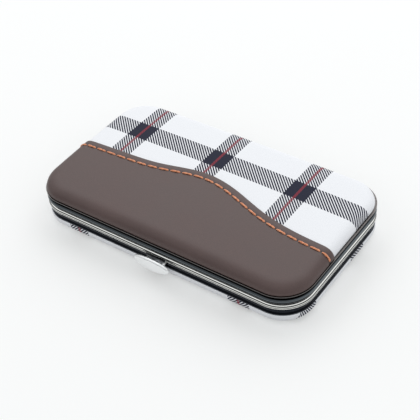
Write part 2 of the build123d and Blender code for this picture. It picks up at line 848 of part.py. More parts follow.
# Nail clipper: two leaves joined at the tail, a pin through both and a lever folded on top
clipper_z = base_floor + tool_gap


def clipper_plan(front_width, back_width, bow, start_x, end_x):
    """Plan of a clipper leaf with a round tail and a gently bowed front, as a tall solid."""
    with BuildPart() as plan:
        with BuildSketch():
            with BuildLine():
                Line(
                    (end_x, clipper_y + front_width / 2),
                    (start_x + back_width / 2, clipper_y + back_width / 2),
                )
                ThreePointArc(
                    (start_x + back_width / 2, clipper_y + back_width / 2),
                    (start_x, clipper_y),
                    (start_x + back_width / 2, clipper_y - back_width / 2),
                )
                Line(
                    (start_x + back_width / 2, clipper_y - back_width / 2),
                    (end_x, clipper_y - front_width / 2),
                )
                ThreePointArc(
                    (end_x, clipper_y - front_width / 2),
                    (end_x + bow, clipper_y),
                    (end_x, clipper_y + front_width / 2),
                )
            make_face()
        extrude(amount=lid_top)
    return plan.part


def clipper_section(points, thickness):
    """Side view of a bent strip: its lower line, then the same line raised by its thickness."""
    upper = [(x, z + thickness) for x, z in reversed(points)]
    with BuildPart() as strip:
        with BuildSketch(Plane.XZ.offset(-clipper_y - clipper_width)):
            with BuildLine():
                Polyline(*points, *upper, close=True)
            make_face()
        extrude(amount=2 * clipper_width)
    return strip.part


jaw_meet = clipper_z + leaf_sheet + clipper_rise / 2
jaw_plan = clipper_plan(
    clipper_width, clipper_width, clipper_bow, clipper_back_x, clipper_front_x - clipper_bow
)
lower_leaf_z = clipper_z + clipper_pin_head_height
upper_leaf_z = lower_leaf_z + leaf_sheet
lower_leaf = clipper_section(
    [
        (clipper_back_x, lower_leaf_z),
        (clipper_front_x - lower_bend_length, lower_leaf_z),
        (clipper_front_x, jaw_meet - leaf_sheet),
    ],
    leaf_sheet,
)
upper_leaf = clipper_section(
    [
        (clipper_back_x, upper_leaf_z),
        (clipper_back_x + upper_tail_length, upper_leaf_z),
        (clipper_front_x - upper_bend_length, upper_leaf_z + clipper_rise),
        (clipper_front_x, jaw_meet + jaw_gap),
    ],
    leaf_sheet,
)
lever_low = upper_leaf_z + leaf_sheet + clipper_rise + lever_gap

with BuildPart() as clipper_lower_jaw:
    add(lower_leaf)
    add(jaw_plan, mode=Mode.INTERSECT)
    with BuildSketch():
        with Locations((clipper_pin_x, clipper_y)):
            Circle(clipper_pin_radius + rivet_clearance)
    extrude(amount=lid_top, mode=Mode.SUBTRACT)
clipper_lower_jaw.part.label = "clipper_lower_jaw"

with BuildPart() as clipper_upper_jaw:
    add(upper_leaf)
    add(jaw_plan, mode=Mode.INTERSECT)
    with BuildSketch():
        with Locations((clipper_pin_x, clipper_y)):
            Circle(clipper_pin_radius + rivet_clearance)
    extrude(amount=lid_top, mode=Mode.SUBTRACT)
clipper_upper_jaw.part.label = "clipper_upper_jaw"

lever_plan = clipper_plan(
    lever_front_width, lever_back_width, lever_bow, clipper_back_x, clipper_pin_x + lever_front_width / 2
)
lever_strip = clipper_section(
    [
        (clipper_back_x, lever_low - lever_tail_drop),
        (clipper_back_x + lever_tail_length, lever_low - lever_middle_drop),
        (clipper_pin_x - lever_flat_length, lever_low),
        (clipper_front_x, lever_low),
    ],
    lever_thickness,
)
with BuildPart() as clipper_lever:
    add(lever_strip)
    add(lever_plan, mode=Mode.INTERSECT)
    with BuildSketch():
        with Locations((clipper_pin_x, clipper_y)):
            Circle(clipper_pin_radius + rivet_clearance)
    extrude(amount=lid_top, mode=Mode.SUBTRACT)
clipper_lever.part.label = "clipper_lever"

with BuildPart() as clipper_pin:
    with BuildSketch(Plane.XY.offset(clipper_z)):
        with Locations((clipper_pin_x, clipper_y)):
            Circle(clipper_pin_head_radius)
    extrude(amount=clipper_pin_head_height)
    chamfer(clipper_pin.edges().group_by(Axis.Z)[0], clipper_pin_head_height / 2)
    with BuildSketch(Plane.XY.offset(clipper_z)):
        with Locations((clipper_pin_x, clipper_y)):
            Circle(clipper_pin_radius)
    extrude(amount=lever_low + lever_thickness + rivet_head_height - clipper_z)
    chamfer(clipper_pin.edges().group_by(Axis.Z)[-1], rivet_head_height / 2)
clipper_pin.part.label = "clipper_pin"
clipper_top = lever_low + lever_thickness


def strap(points, x_centre):
    """Leather strip of even thickness along a bent line, from its middle line's points."""
    with BuildPart() as strip:
        with BuildSketch(Plane.YZ.offset(x_centre - strap_width / 2)):
            with BuildLine():
                FilletPolyline(*points, radius=strap_bend)
            trace(line_width=strap_thickness)
        extrude(amount=strap_width)
    return strip.part


base_foot_z = base_floor + strap_thickness / 2
arch_low = scissors_z + scissors_thickness + strap_reach
clipper_arch = clipper_top + strap_reach
base_strap_points = [
    (scissors_y - ring_spread - strap_foot, base_foot_z),
    (scissors_y - ring_spread, base_foot_z),
    (scissors_y - ring_spread + strap_slope, arch_low),
    (scissors_y + ring_spread - strap_slope, arch_low),
    (scissors_y + ring_spread, base_foot_z),
    (clipper_y - clipper_side, base_foot_z),
    (clipper_y - clipper_side, clipper_arch),
    (clipper_y + clipper_side, clipper_arch),
    (clipper_y + clipper_side, base_foot_z),
    (strap_back_end, base_foot_z),
]
with BuildPart() as tool_strap_base:
    add(strap(base_strap_points, base_strap_x))
tool_strap_base.part.label = "tool_strap_base"

# Tools in the lid hang just under its ceiling, held by their own strap
lid_tool_z = lid_ceiling - tool_gap
tool_back_x = -tool_length / 2
tool_front_x = tool_length / 2


def tweezers_arm(side):
    """One arm of the tweezers: a strip that is joined to its twin at the tail and stands off it."""
    middle = lid_tool_z - tweezers_sheet - tweezers_spread / 2
    sheet = side * tweezers_sheet
    stand = side * tweezers_spread / 2
    line = [
        (tool_back_x, middle),
        (tool_back_x + tweezers_joint_length, middle),
        (tool_back_x + tweezers_joint_length + tweezers_flare_length, middle + stand),
        (tool_front_x - tweezers_tip_length, middle + stand),
        (tool_front_x, middle + side * tweezers_tip_gap / 2),
    ]
    outer = [(x, z + sheet) for x, z in reversed(line)]
    with BuildPart() as arm:
        with BuildSketch(Plane.XZ.offset(-tweezers_y - tweezers_width)):
            with BuildLine():
                Polyline(*line, *outer, close=True)
            make_face()
        extrude(amount=2 * tweezers_width)
        with BuildSketch(Plane.XY.offset(seam_height)) as plan:
            with BuildLine():
                Polyline(
                    (tool_back_x, tweezers_y - tweezers_width / 2),
                    (tool_back_x, tweezers_y + tweezers_width / 2),
                    (tool_front_x - tweezers_tip_length, tweezers_y + tweezers_width / 2),
                    (tool_front_x, tweezers_y + tweezers_tip_width / 2),
                    (tool_front_x, tweezers_y - tweezers_tip_width / 2),
                    (tool_front_x - tweezers_tip_length, tweezers_y - tweezers_width / 2),
                    close=True,
                )
            make_face()
            fillet(plan.vertices().group_by(Axis.X)[0], tweezers_tail_round)
        extrude(amount=lid_top, mode=Mode.INTERSECT)
    return arm.part


with BuildPart() as tweezers_arm_lower:
    add(tweezers_arm(-1))
tweezers_arm_lower.part.label = "tweezers_arm_lower"

with BuildPart() as tweezers_arm_upper:
    add(tweezers_arm(1))
tweezers_arm_upper.part.label = "tweezers_arm_upper"

with BuildPart() as nail_file:
    with BuildSketch(Plane.XY.offset(lid_tool_z - file_handle_thickness / 2 - file_thickness / 2)):
        with Locations(((tool_back_x + tool_front_x) / 2, file_y)):
            SlotOverall(tool_length, file_width)
    extrude(amount=file_thickness)
    with BuildSketch(Plane.XY.offset(lid_tool_z - file_handle_thickness)):
        with Locations((tool_back_x + file_handle_length / 2, file_y)):
            SlotOverall(file_handle_length, file_width)
    extrude(amount=file_handle_thickness)
    handle_edges = nail_file.edges().group_by(Axis.Z)
    chamfer(handle_edges[0] + handle_edges[-1], file_edge_round)
nail_file.part.label = "nail_file"


def flattened_rod(y, radius, spoon_length, spoon_width, spoon_thickness):
    """Round rod whose front end is drawn out into a flat, rounded spoon."""
    z = lid_tool_z - max(radius, spoon_thickness)
    rod_end = tool_front_x - spoon_length
    with BuildPart() as rod:
        with BuildSketch(Plane.YZ.offset(tool_back_x)):
            with Locations((y, z)):
                Circle(radius)
        extrude(amount=rod_end - tool_back_x)
        chamfer(rod.edges().group_by(Axis.X)[0], rod_end_chamfer)
        with BuildSketch(Plane.YZ.offset(rod_end)):
            with Locations((y, z)):
                Circle(radius)
        with BuildSketch(Plane.YZ.offset(tool_front_x - spoon_length / 2)):
            with Locations((y, z)):
                Ellipse(spoon_width / 2, spoon_thickness / 2)
        with BuildSketch(Plane.YZ.offset(tool_front_x)):
            with Locations((y, z)):
                Ellipse(spoon_width * spoon_tip_share / 2, spoon_thickness * spoon_tip_share / 2)
        loft()
    return rod.part


with BuildPart() as cuticle_pusher:
    add(
        flattened_rod(
            pusher_y, pusher_radius, pusher_spoon_length, pusher_spoon_width, pusher_spoon_thickness
        )
    )
cuticle_pusher.part.label = "cuticle_pusher"

with BuildPart() as ear_pick:
    add(flattened_rod(pick_y, pick_radius, pick_spoon_length, pick_spoon_width, pick_spoon_thickness))
ear_pick.part.label = "ear_pick"

lid_foot_z = lid_ceiling - strap_thickness / 2
tweezers_drop = lid_tool_z - 2 * tweezers_sheet - tweezers_spread - strap_reach
pusher_drop = lid_tool_z - 2 * pusher_radius - strap_reach
tweezers_side = tweezers_y - tweezers_width / 2 - strap_reach
pick_side = pick_y + pick_radius + strap_reach
lid_strap_points = [
    (tweezers_side - strap_foot, lid_foot_z),
    (tweezers_side, lid_foot_z),
    (tweezers_side, tweezers_drop),
    (pick_side, pusher_drop),
    (pick_side, lid_foot_z),
    (pick_side + strap_foot, lid_foot_z),
]
with BuildPart() as tool_strap_lid:
    add(strap(lid_strap_points, lid_strap_x))
tool_strap_lid.part.label = "tool_strap_lid"


def strap_rivets(x_centre, y_places, height, upward):
    """Bevelled rivet heads that hold a strap's feet."""
    rivet_x = [x_centre - strap_width / 4, x_centre + strap_width / 4]
    with BuildPart() as group:
        with BuildSketch(Plane.XY.offset(height)):
            with Locations([(x, y) for y in y_places for x in rivet_x]):
                Circle(strap_rivet_head_radius)
        extrude(amount=upward * strap_rivet_head_height)
        far = group.edges().group_by(Axis.Z)[-1 if upward > 0 else 0]
        chamfer(far, strap_rivet_head_height / 2)
    return group.part


with BuildPart() as strap_rivets_base:
    add(
        strap_rivets(
            base_strap_x,
            [
                scissors_y - ring_spread - strap_foot / 2,
                (scissors_y + ring_spread + clipper_y - clipper_side) / 2,
            ],
            base_floor + strap_thickness,
            1,
        )
    )
strap_rivets_base.part.label = "strap_rivets_base"

with BuildPart() as strap_rivets_lid:
    add(
        strap_rivets(
            lid_strap_x,
            [tweezers_side - strap_foot / 2, pick_side + strap_foot / 2],
            lid_ceiling - strap_thickness,
            -1,
        )
    )
strap_rivets_lid.part.label = "strap_rivets_lid"

pieces = [
    base_cover,
    base_foam,
    base_shell,
    base_lining,
    base_frame,
    latch_box,
    latch_cover,
    latch_screws,
    latch_springs,
    hinge_leaf_base,
    hinge_pin,
    hinge_rivets_base,
    tool_strap_base,
    strap_rivets_base,
    scissors_blade_lower,
    scissors_blade_upper,
    scissors_screw,
    clipper_lower_jaw,
    clipper_upper_jaw,
    clipper_pin,
    clipper_lever,
    lid_cover,
    leather_panel,
    lid_foam,
    lid_shell,
    lid_lining,
    lid_frame,
    catch_hook,
    hook_rivets,
    hinge_leaf_lid,
    hinge_rivets_lid,
    tool_strap_lid,
    strap_rivets_lid,
    tweezers_arm_lower,
    tweezers_arm_upper,
    nail_file,
    cuticle_pusher,
    ear_pick,
    push_button,
    latch_slider,
    slider_rivets,
]
os.makedirs("parts", exist_ok=True)
for piece in pieces:
    export_step(piece.part, f"parts/{piece.part.label}.step")
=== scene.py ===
"""Looks of the manicure set case: skins, seams, straps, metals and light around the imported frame."""

from math import cos, pi, radians, sin

import bpy
import numpy as np
from mathutils import Matrix, Vector


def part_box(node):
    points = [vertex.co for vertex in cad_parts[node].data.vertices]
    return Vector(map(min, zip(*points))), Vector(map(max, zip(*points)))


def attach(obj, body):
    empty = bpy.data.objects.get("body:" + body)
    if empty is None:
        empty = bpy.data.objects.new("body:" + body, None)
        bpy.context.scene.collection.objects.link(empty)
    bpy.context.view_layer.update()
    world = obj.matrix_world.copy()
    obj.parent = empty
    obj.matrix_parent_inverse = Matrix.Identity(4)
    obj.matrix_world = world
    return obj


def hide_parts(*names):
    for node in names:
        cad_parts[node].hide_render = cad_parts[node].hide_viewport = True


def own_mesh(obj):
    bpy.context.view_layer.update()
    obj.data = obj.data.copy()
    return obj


MM = 0.001
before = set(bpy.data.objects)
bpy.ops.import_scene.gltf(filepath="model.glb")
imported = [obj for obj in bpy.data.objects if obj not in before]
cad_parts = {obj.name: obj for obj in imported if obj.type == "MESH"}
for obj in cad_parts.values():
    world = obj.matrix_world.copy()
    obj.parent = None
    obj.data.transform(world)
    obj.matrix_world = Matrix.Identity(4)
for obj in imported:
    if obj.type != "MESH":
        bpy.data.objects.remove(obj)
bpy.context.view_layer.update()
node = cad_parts


def box_of(name):
    """Lowest and highest corner of a CAD node as arrays, in metres."""
    low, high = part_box(name)
    return np.array(low), np.array(high)


# Outline of the case, read from the frames
lid_frame_low, lid_frame_high = box_of("lid_frame")
base_frame_low, base_frame_high = box_of("base_frame")
half_length = lid_frame_high[0]
half_width = -lid_frame_low[1]
lid_rim = lid_frame_high[2]
base_rim = base_frame_low[2]
lid_top = box_of("leather_panel")[1][2]
corner_radius = 12 * MM

# Padded lid
lid_crown = 0.8 * MM
lid_roll_reach = 5.1 * MM
lid_cover_inset = 0.3 * MM
lid_foot_inset = lid_cover_inset + lid_roll_reach
roll_end = radians(88)
roll_share = np.linspace(0, 1, 401)
roll_turn = roll_end * roll_share**2
rim_tuck = 0.3 * MM
rim_run = 0.7 * MM
tuck_length = 1.2 * MM

# Leather edge and its seam
edge_share = np.array([-0.52, -0.33, -0.18, -0.035, 0.10, 0.23, 0.36, 0.52])
edge_place = np.array([-1.3, -0.6, 0.8, 4.1, 2.1, -2.7, -5.3, -5.9]) * MM
leather_step = 0.4 * MM
leather_skin = 0.33 * MM
leather_bury = 0.05 * MM
edge_round = 0.42 * MM
cut_edge = 0.16 * MM
lap = 2.0 * MM
stitch_inset = 3.0 * MM
stitch_pitch = 4.53 * MM
stitch_gap = 0.6 * MM
thread_radius = 0.3 * MM
stitch_sink = 0.30 * MM
stitch_rise = 0.44 * MM
needle_hole = 0.28 * MM
needle_dip = 0.2 * MM
groove_depth = 0.13 * MM
groove_half = 0.6 * MM
swell_height = 0.06 * MM
swell_half = 0.7 * MM

# Thread: half width and half height of its section as shares of its radius, and its two plies
thread_section = (1.1, 0.85)
ply_swell = 0.16
ply_turns = 2.2
thread_guide = 0.1 * MM

# Padded base
base_cover_inset = 0.3 * MM
base_roll = 3.6 * MM
base_foot_inset = base_cover_inset + base_roll
base_tuck = 0.25 * MM
base_run = 0.8 * MM
base_cloth_shift = np.array([-3.0, 4.0]) * MM
fabric_thickness = 0.45 * MM

# Tool straps
strap_thickness = 0.6 * MM
strap_reach = 0.45 * MM
strap_foot = 3.2 * MM
strap_slope = 2.0 * MM
strap_bend = 1.6 * MM
strap_step = 0.3 * MM
ring_spread = 9.6 * MM
strap_stitch_inset = 1.2 * MM
strap_stitch_pitch = 1.9 * MM
strap_stitch_gap = 0.45 * MM
strap_stitch_ends = 1.6 * MM
strap_stitch_sink = 0.22 * MM
strap_stitch_rise = 0.30 * MM
strap_thread_radius = 0.2 * MM
strap_press_depth = 0.08 * MM
strap_press_half = 0.45 * MM

# Push button
plate_thickness = 1.3 * MM
plate_crown = 60 * MM
rim_width = 0.95 * MM
rim_depth = 0.85 * MM
stem_width = 7.6 * MM
stem_thickness = 0.9 * MM
stem_bottom = 5.7 * MM
stem_bury = 0.1 * MM
stem_holes = np.array([2.2, -2.2]) * MM
stem_hole_radius = 0.53 * MM

# Latch springs
spring_wire = 0.16 * MM
spring_turns = 6.5

# Nail file
file_pitch = 1.6 * MM
file_handle = 28 * MM
file_margin = 1 * MM

# Heights in the frames' painted light: the bead under the seam painted bright as a reflection, the one over
# it painted dark, and their painted reflection lines
bead_height = 2.3 * MM
bead_lines = np.array([0.5, 1.05]) * MM
bead_line_half = 0.25 * MM
lid_bead_height = 2.2 * MM
lid_line = 1.6 * MM
lid_line_half = 0.4 * MM
lip_height = 0.4 * MM
lip_margin = 0.1 * MM


def around_rectangle(u, v, inset):
    """Distance outside the case's outline drawn in by an inset, and the direction outwards.

    It is the signed distance of a rounded rectangle: the corner's circle, or the nearer side."""
    radius = corner_radius - inset
    over_u = np.abs(u) - (half_length - corner_radius)
    over_v = np.abs(v) - (half_width - corner_radius)
    out_u = np.maximum(over_u, 0)
    out_v = np.maximum(over_v, 0)
    reach = np.hypot(out_u, out_v)
    distance = reach + np.minimum(np.maximum(over_u, over_v), 0) - radius
    safe = np.maximum(reach, 1e-9)
    return distance, np.sign(u) * out_u / safe, np.sign(v) * out_v / safe


def summed(values):
    """Integral of evenly spaced values from the first to each, by trapezoids, over a span of 1."""
    steps = (values[1:] + values[:-1]) / 2 / (len(values) - 1)
    return np.concatenate([[0], np.cumsum(steps)])


roll_out = summed(np.cos(roll_turn))
roll_fall = summed(np.sin(roll_turn))
roll_length = lid_roll_reach / roll_out[-1]
flat_reach = roll_length + tuck_length


def crown_height(x, y):
    """Height of the lid's pad without its roll: a shallow paraboloid."""
    return lid_top - lid_crown * ((x / half_length) ** 2 + (y / half_width) ** 2)


def lid_point(u, v, depth):
    """Point of the padded lid over a flat coordinate, at a depth under its outer surface.

    Outside the roll's foot line the flat distance is an arc length. The skin turns down by the square of
    its share of the roll, so it leaves the flat without a crease and is tightest at the frame's lip. The
    curve is scaled to end at the lip, and a small tuck and a run inwards follow."""
    beyond, out_u, out_v = around_rectangle(u, v, lid_foot_inset)
    beyond = np.maximum(beyond, 0)
    foot_u = u - out_u * beyond
    foot_v = v - out_v * beyond
    share = np.clip(beyond / roll_length, 0, 1)
    fall = crown_height(foot_u + out_u * lid_roll_reach, foot_v + out_v * lid_roll_reach) - lid_rim - rim_tuck
    out = lid_roll_reach * np.interp(share, roll_share, roll_out) / roll_out[-1]
    down = fall * np.interp(share, roll_share, roll_fall) / roll_fall[-1]
    slant = roll_end * share**2
    normal_out = fall * np.sin(slant) / roll_fall[-1]
    normal_up = lid_roll_reach * np.cos(slant) / roll_out[-1]
    normal_length = np.hypot(normal_out, normal_up)
    tuck = np.clip((beyond - roll_length) / tuck_length, 0, 1)
    curl = np.minimum(2 * tuck, 1) * pi / 2
    run = np.maximum(2 * tuck - 1, 0) * rim_run
    z = crown_height(foot_u + out_u * out, foot_v + out_v * out) - down
    z = z - depth * normal_up / normal_length - rim_tuck * np.sin(curl)
    out = out - depth * normal_out / normal_length - rim_tuck * (1 - np.cos(curl)) - run
    return np.stack([foot_u + out_u * out, foot_v + out_v * out, z], -1)


def edge_curve(u):
    """Place of the leather's edge across the case and its slope, as a natural cubic spline in u."""
    knots = edge_share * 2 * half_length
    gaps = np.diff(knots)
    slopes = np.diff(edge_place) / gaps
    count = len(knots)
    system = np.eye(count)
    right = np.zeros(count)
    for i in range(1, count - 1):
        system[i, i - 1 : i + 2] = gaps[i - 1], 2 * (gaps[i - 1] + gaps[i]), gaps[i]
        right[i] = 6 * (slopes[i] - slopes[i - 1])
    bend = np.linalg.solve(system, right)
    i = np.clip(np.searchsorted(knots, u) - 1, 0, count - 2)
    step = u - knots[i]
    first = slopes[i] - gaps[i] * (2 * bend[i] + bend[i + 1]) / 6
    third = (bend[i + 1] - bend[i]) / (6 * gaps[i])
    place = edge_place[i] + first * step + bend[i] / 2 * step**2 + third * step**3
    return place, first + bend[i] * step + 3 * third * step**2


def flat_columns(reach_u, radius, middle, corner):
    """Places along the case for a skin's columns: even in the middle, by angle round the corners."""
    turn = np.linspace(0, pi / 2, corner + 1)[1:]
    ends = reach_u - radius + radius * np.sin(turn)
    straight = np.linspace(-(reach_u - radius), reach_u - radius, middle + 1)
    return np.concatenate([-ends[::-1], straight, ends])


def flat_end(u, reach_u, reach_v, radius):
    """How far a flat skin reaches across the case at each column, with its corners rounded."""
    over = np.clip(np.abs(u) - (reach_u - radius), 0, radius)
    return reach_v - radius + np.sqrt(np.maximum(radius**2 - over**2, 0))


def new_piece(name, points, faces, attributes=None):
    """Mesh object from arrays of points and faces, smooth, with point attributes of one or three values."""
    mesh = bpy.data.meshes.new(name)
    mesh.from_pydata(points.reshape(-1, 3).tolist(), [], faces)
    for key, values in (attributes or {}).items():
        values = np.asarray(values, np.float32)
        kind = "FLOAT_VECTOR" if values.ndim > 1 and values.shape[-1] == 3 else "FLOAT"
        layer = mesh.attributes.new(key, kind, "POINT")
        layer.data.foreach_set("vector" if kind == "FLOAT_VECTOR" else "value", values.ravel())
    mesh.validate()
    mesh.shade_smooth()
    piece = bpy.data.objects.new(name, mesh)
    bpy.context.scene.collection.objects.link(piece)
    return piece


def grid_faces(rows, columns, flip=False, wrap=False):
    """Quads of a grid whose points are stored row by row, closed along its columns when it wraps."""
    r = np.arange(rows - 1)[:, None]
    c = np.arange(columns if wrap else columns - 1)[None, :]
    d = (c + 1) % columns
    quads = np.stack([r * columns + c, r * columns + d, (r + 1) * columns + d, (r + 1) * columns + c], -1)
    quads = quads.reshape(-1, 4)
    return (quads[:, ::-1] if flip else quads).tolist()


def give_wall(piece, thickness):
    """Turns a surface into a closed shell of an even thickness, inwards from its faces."""
    wall = piece.modifiers.new("wall", "SOLIDIFY")
    wall.thickness = thickness
    wall.offset = -1
    wall.use_even_offset = True
    return piece


class Recipe:
    """A material in the making: adds nodes, joins them and sets the surface's sockets."""

    def __init__(self, name, **constants):
        self.material = bpy.data.materials.new(name)
        self.material.use_nodes = True
        self.tree = self.material.node_tree
        self.surface = self.tree.nodes["Principled BSDF"]
        for socket, value in constants.items():
            self.surface.inputs[socket.replace("_", " ")].default_value = value

    def put(self, socket, value):
        """Joins an output to a socket, or writes a plain value into it."""
        if isinstance(value, bpy.types.NodeSocket):
            self.tree.links.new(value, socket)
        else:
            socket.default_value = value

    def node(self, kind, *inputs, **settings):
        """New node with settings and its first inputs, given as outputs or plain values."""
        made = self.tree.nodes.new("ShaderNode" + kind)
        for key, value in settings.items():
            setattr(made, key, value)
        for socket, value in zip(made.inputs, inputs):
            if value is not None:
                self.put(socket, value)
        return made

    def math(self, operation, *inputs):
        return self.node("Math", *inputs, operation=operation).outputs[0]

    def places(self, stretch=(1, 1, 1)):
        """Coordinates of the object in metres, stretched along its axes."""
        mapped = self.node("Mapping", self.node("TexCoord").outputs["Object"])
        mapped.inputs["Scale"].default_value = stretch
        return mapped.outputs[0]

    def attribute(self, name, output="Fac"):
        return self.node("Attribute", attribute_name=name).outputs[output]

    def parts(self, vector):
        return self.node("SeparateXYZ", vector).outputs

    def noise(self, vector, scale, detail=3.0, rough=0.5):
        made = self.node("TexNoise")
        self.put(made.inputs["Vector"], vector)
        made.inputs["Scale"].default_value = scale
        made.inputs["Detail"].default_value = detail
        made.inputs["Roughness"].default_value = rough
        return made.outputs["Fac"]

    def cells(self, vector, scale):
        made = self.node("TexVoronoi")
        self.put(made.inputs["Vector"], vector)
        made.inputs["Scale"].default_value = scale
        return made.outputs["Distance"]

    def remap(self, value, low, high, to_low, to_high):
        return self.node("MapRange", value, low, high, to_low, to_high, clamp=True).outputs[0]

    def within(self, value, low, high):
        """1 where a value lies between two limits, else 0."""
        middle = (low + high) / 2
        offset = self.math("ABSOLUTE", self.math("SUBTRACT", value, middle))
        return self.math("LESS_THAN", offset, (high - low) / 2)

    def mix(self, share, first, second):
        """Colour between two colours. The colour sockets of a mix node are its seventh and eighth."""
        made = self.node("Mix", share, data_type="RGBA")
        self.put(made.inputs[6], first)
        self.put(made.inputs[7], second)
        return made.outputs[2]

    def bump(self, height, strength, distance):
        made = self.node("Bump")
        made.inputs["Strength"].default_value = strength
        made.inputs["Distance"].default_value = distance
        self.put(made.inputs["Height"], height)
        return made.outputs[0]

    def set(self, **sockets):
        for socket, value in sockets.items():
            self.put(self.surface.inputs[socket.replace("_", " ")], value)
        return self.material


def rgb(red, green, blue):
    """Colour from 0 to 255 sRGB values, in the linear light that the shader wants."""
    values = np.array([red, green, blue]) / 255
    linear = np.where(values <= 0.04045, values / 12.92, ((values + 0.055) / 1.055) ** 2.4)
    return (*linear.tolist(), 1.0)


def brown_leather():
    """Smooth finished leather: slow blotches, fine pebbled grain, a darker cut edge and painted shade in the
    needle holes.
    """
    r = Recipe("brown_leather", Specular_IOR_Level=0.62)
    at = r.places()
    blotch = r.noise(at, 60.0, 4.0, 0.6)
    grain = r.cells(at, 2600.0)
    pores = r.noise(at, 5200.0, 2.0)
    colour = r.mix(r.remap(blotch, 0.3, 0.7, 0, 1), rgb(72, 52, 49), rgb(82, 62, 59))
    colour = r.mix(r.remap(grain, 0.1, 0.7, 0.22, 0.0), colour, rgb(44, 31, 28))
    # Darker along the cut edge, with painted shade in the needle holes
    colour = r.mix(r.attribute("edge_dark_and_hole_shade"), colour, rgb(26, 17, 15))
    height = r.math("ADD", r.math("MULTIPLY", grain, 0.8), r.math("MULTIPLY", pores, 0.3))
    rough = r.remap(blotch, 0.2, 0.8, 0.46, 0.58)
    return r.set(Base_Color=colour, Roughness=rough, Normal=r.bump(height, 0.3, 0.05 * MM))


plaid_pitch = np.array([34.0, 31.0]) * MM
plaid_start = np.array([-4.0, 13.0]) * MM
band_half = 4.2 * MM
centre_half = 0.5 * MM
twill_pitch = 1.24 * MM
twill_share = 0.6
weave_pitch = 0.26 * MM


def plaid_cloth():
    """Plain tartan on the cloth's own flat coordinates, in single wide bands with a red centre line.

    A value's distance to the nearest band is a triangle wave of the pitch. Bands are twill hatch, and
    solid where two cross."""
    r = Recipe("plaid_cloth", Specular_IOR_Level=0.2)
    cloth = r.attribute("cloth", "Vector")
    flat = r.parts(cloth)
    line = []
    for axis in (0, 1):
        shifted = r.math("SUBTRACT", flat[axis], plaid_start[axis])
        line.append(r.math("PINGPONG", shifted, plaid_pitch[axis] / 2))
    wide = [r.within(line[axis], -band_half, band_half) for axis in (0, 1)]
    centre = r.within(line[0], -centre_half, centre_half)
    diagonal = r.math("DIVIDE", r.math("ADD", flat[0], flat[1]), twill_pitch)
    hatch = r.math("LESS_THAN", r.math("FRACT", diagonal), twill_share)
    square = r.math("MULTIPLY", *wide)
    ink = r.math("MAXIMUM", square, r.math("MULTIPLY", hatch, r.math("MAXIMUM", *wide)))
    fibre = r.noise(cloth, 3000.0, 2.0)
    drift = r.remap(fibre, 0.3, 0.7, 0, 1)
    ground = r.mix(drift, rgb(233, 235, 239), rgb(245, 246, 249))
    navy = r.mix(drift, rgb(6, 10, 30), rgb(15, 22, 52))
    colour = r.mix(ink, ground, navy)
    colour = r.mix(r.math("MULTIPLY", centre, r.remap(hatch, 0, 1, 0.75, 1.0)), colour, rgb(122, 36, 52))
    weave = [r.math("SINE", r.math("MULTIPLY", flat[axis], 2 * pi / weave_pitch)) for axis in (0, 1)]
    ridge = r.math("SINE", r.math("MULTIPLY", diagonal, 2 * pi))
    height = r.math("ADD", r.math("MULTIPLY", *weave), ridge)
    rough = r.remap(fibre, 0.2, 0.8, 0.5, 0.62)
    return r.set(Base_Color=colour, Roughness=rough, Normal=r.bump(height, 0.12, 0.03 * MM))


def metal(name, light, dark, rough_low, rough_high, stretch=(1, 1, 1), scale=900.0, bump=0.05, metallic=1.0):
    """Metal with fine marks: a stretched noise varies the colour, the roughness and the surface."""
    r = Recipe(name, Metallic=metallic)
    marks = r.noise(r.places(stretch), scale, 4.0, 0.6)
    colour = r.mix(r.remap(marks, 0.3, 0.7, 0, 1), dark, light)
    rough = r.remap(marks, 0.25, 0.75, rough_low, rough_high)
    return r.set(Base_Color=colour, Roughness=rough, Normal=r.bump(marks, bump, 0.03 * MM))


def frame_metal(name, bead, flank, lip, line, bead_range, lip_range, painted_lines):
    """Rolled frame told apart by height, with light and shade painted into its colour: a bead whose colour is
    a painted reflection, with soft-edged painted reflection lines along it, a flank painted dark as shade and
    a lip painted lighter as a highlight.

    Each line is a height and a half width, and fades out from its middle."""
    r = Recipe(name, Metallic=1.0)
    at = r.places()
    height = r.parts(at)[2]
    marks = r.noise(at, 700.0, 4.0, 0.6)
    drift = r.remap(marks, 0.3, 0.7, 0, 1)
    # The bead's colour is a painted reflection, the flank's painted shade and the lip's a painted highlight,
    # each with fine marks
    marked_painted_tones = [r.mix(drift, rgb(*(0.95 * np.array(shade))), rgb(*shade)) for shade in (bead, flank, lip)]
    colour = r.mix(r.within(height, *bead_range), marked_painted_tones[1], marked_painted_tones[0])
    # Lines of painted reflection along the bead: dark lines on the lower frame, a highlight line on the upper
    # one
    for place, half in painted_lines:
        away = r.math("ABSOLUTE", r.math("SUBTRACT", height, place))
        colour = r.mix(r.remap(away, 0.3 * half, half, 1, 0), colour, rgb(*line))
    colour = r.mix(r.within(height, *lip_range), colour, marked_painted_tones[2])
    rough = r.remap(marks, 0.25, 0.75, 0.10, 0.2)
    return r.set(Base_Color=colour, Roughness=rough, Normal=r.bump(marks, 0.02, 0.01 * MM))


def file_steel(low, high):
    """Steel of the nail file: crossed ridges cut into the blade between two places, with painted shade in the
    cuts, satin elsewhere.
    """
    r = Recipe("file_steel", Metallic=1.0)
    at = r.places()
    place = r.parts(at)
    cut = [
        r.math("SINE", r.math("MULTIPLY", r.math(slant, place[0], place[1]), 2 * pi / file_pitch))
        for slant in ("ADD", "SUBTRACT")
    ]
    blade = r.within(place[0], low, high)
    ridges = r.math("MULTIPLY", r.math("MAXIMUM", *cut), blade)
    marks = r.noise(at, 900.0, 3.0, 0.6)
    colour = r.mix(r.remap(marks, 0.3, 0.7, 0, 1), rgb(146, 148, 152), rgb(156, 158, 162))
    # Painted shade in the cuts between the ridges; off the blade an even share of the same dark tone
    colour = r.mix(r.remap(ridges, -0.8, 0.8, 0.8, 0.0), colour, rgb(84, 86, 90))
    rough = r.math("ADD", r.remap(marks, 0.25, 0.75, 0.24, 0.34), r.math("MULTIPLY", blade, 0.1))
    return r.set(Base_Color=colour, Roughness=rough, Normal=r.bump(ridges, 0.5, 0.08 * MM))


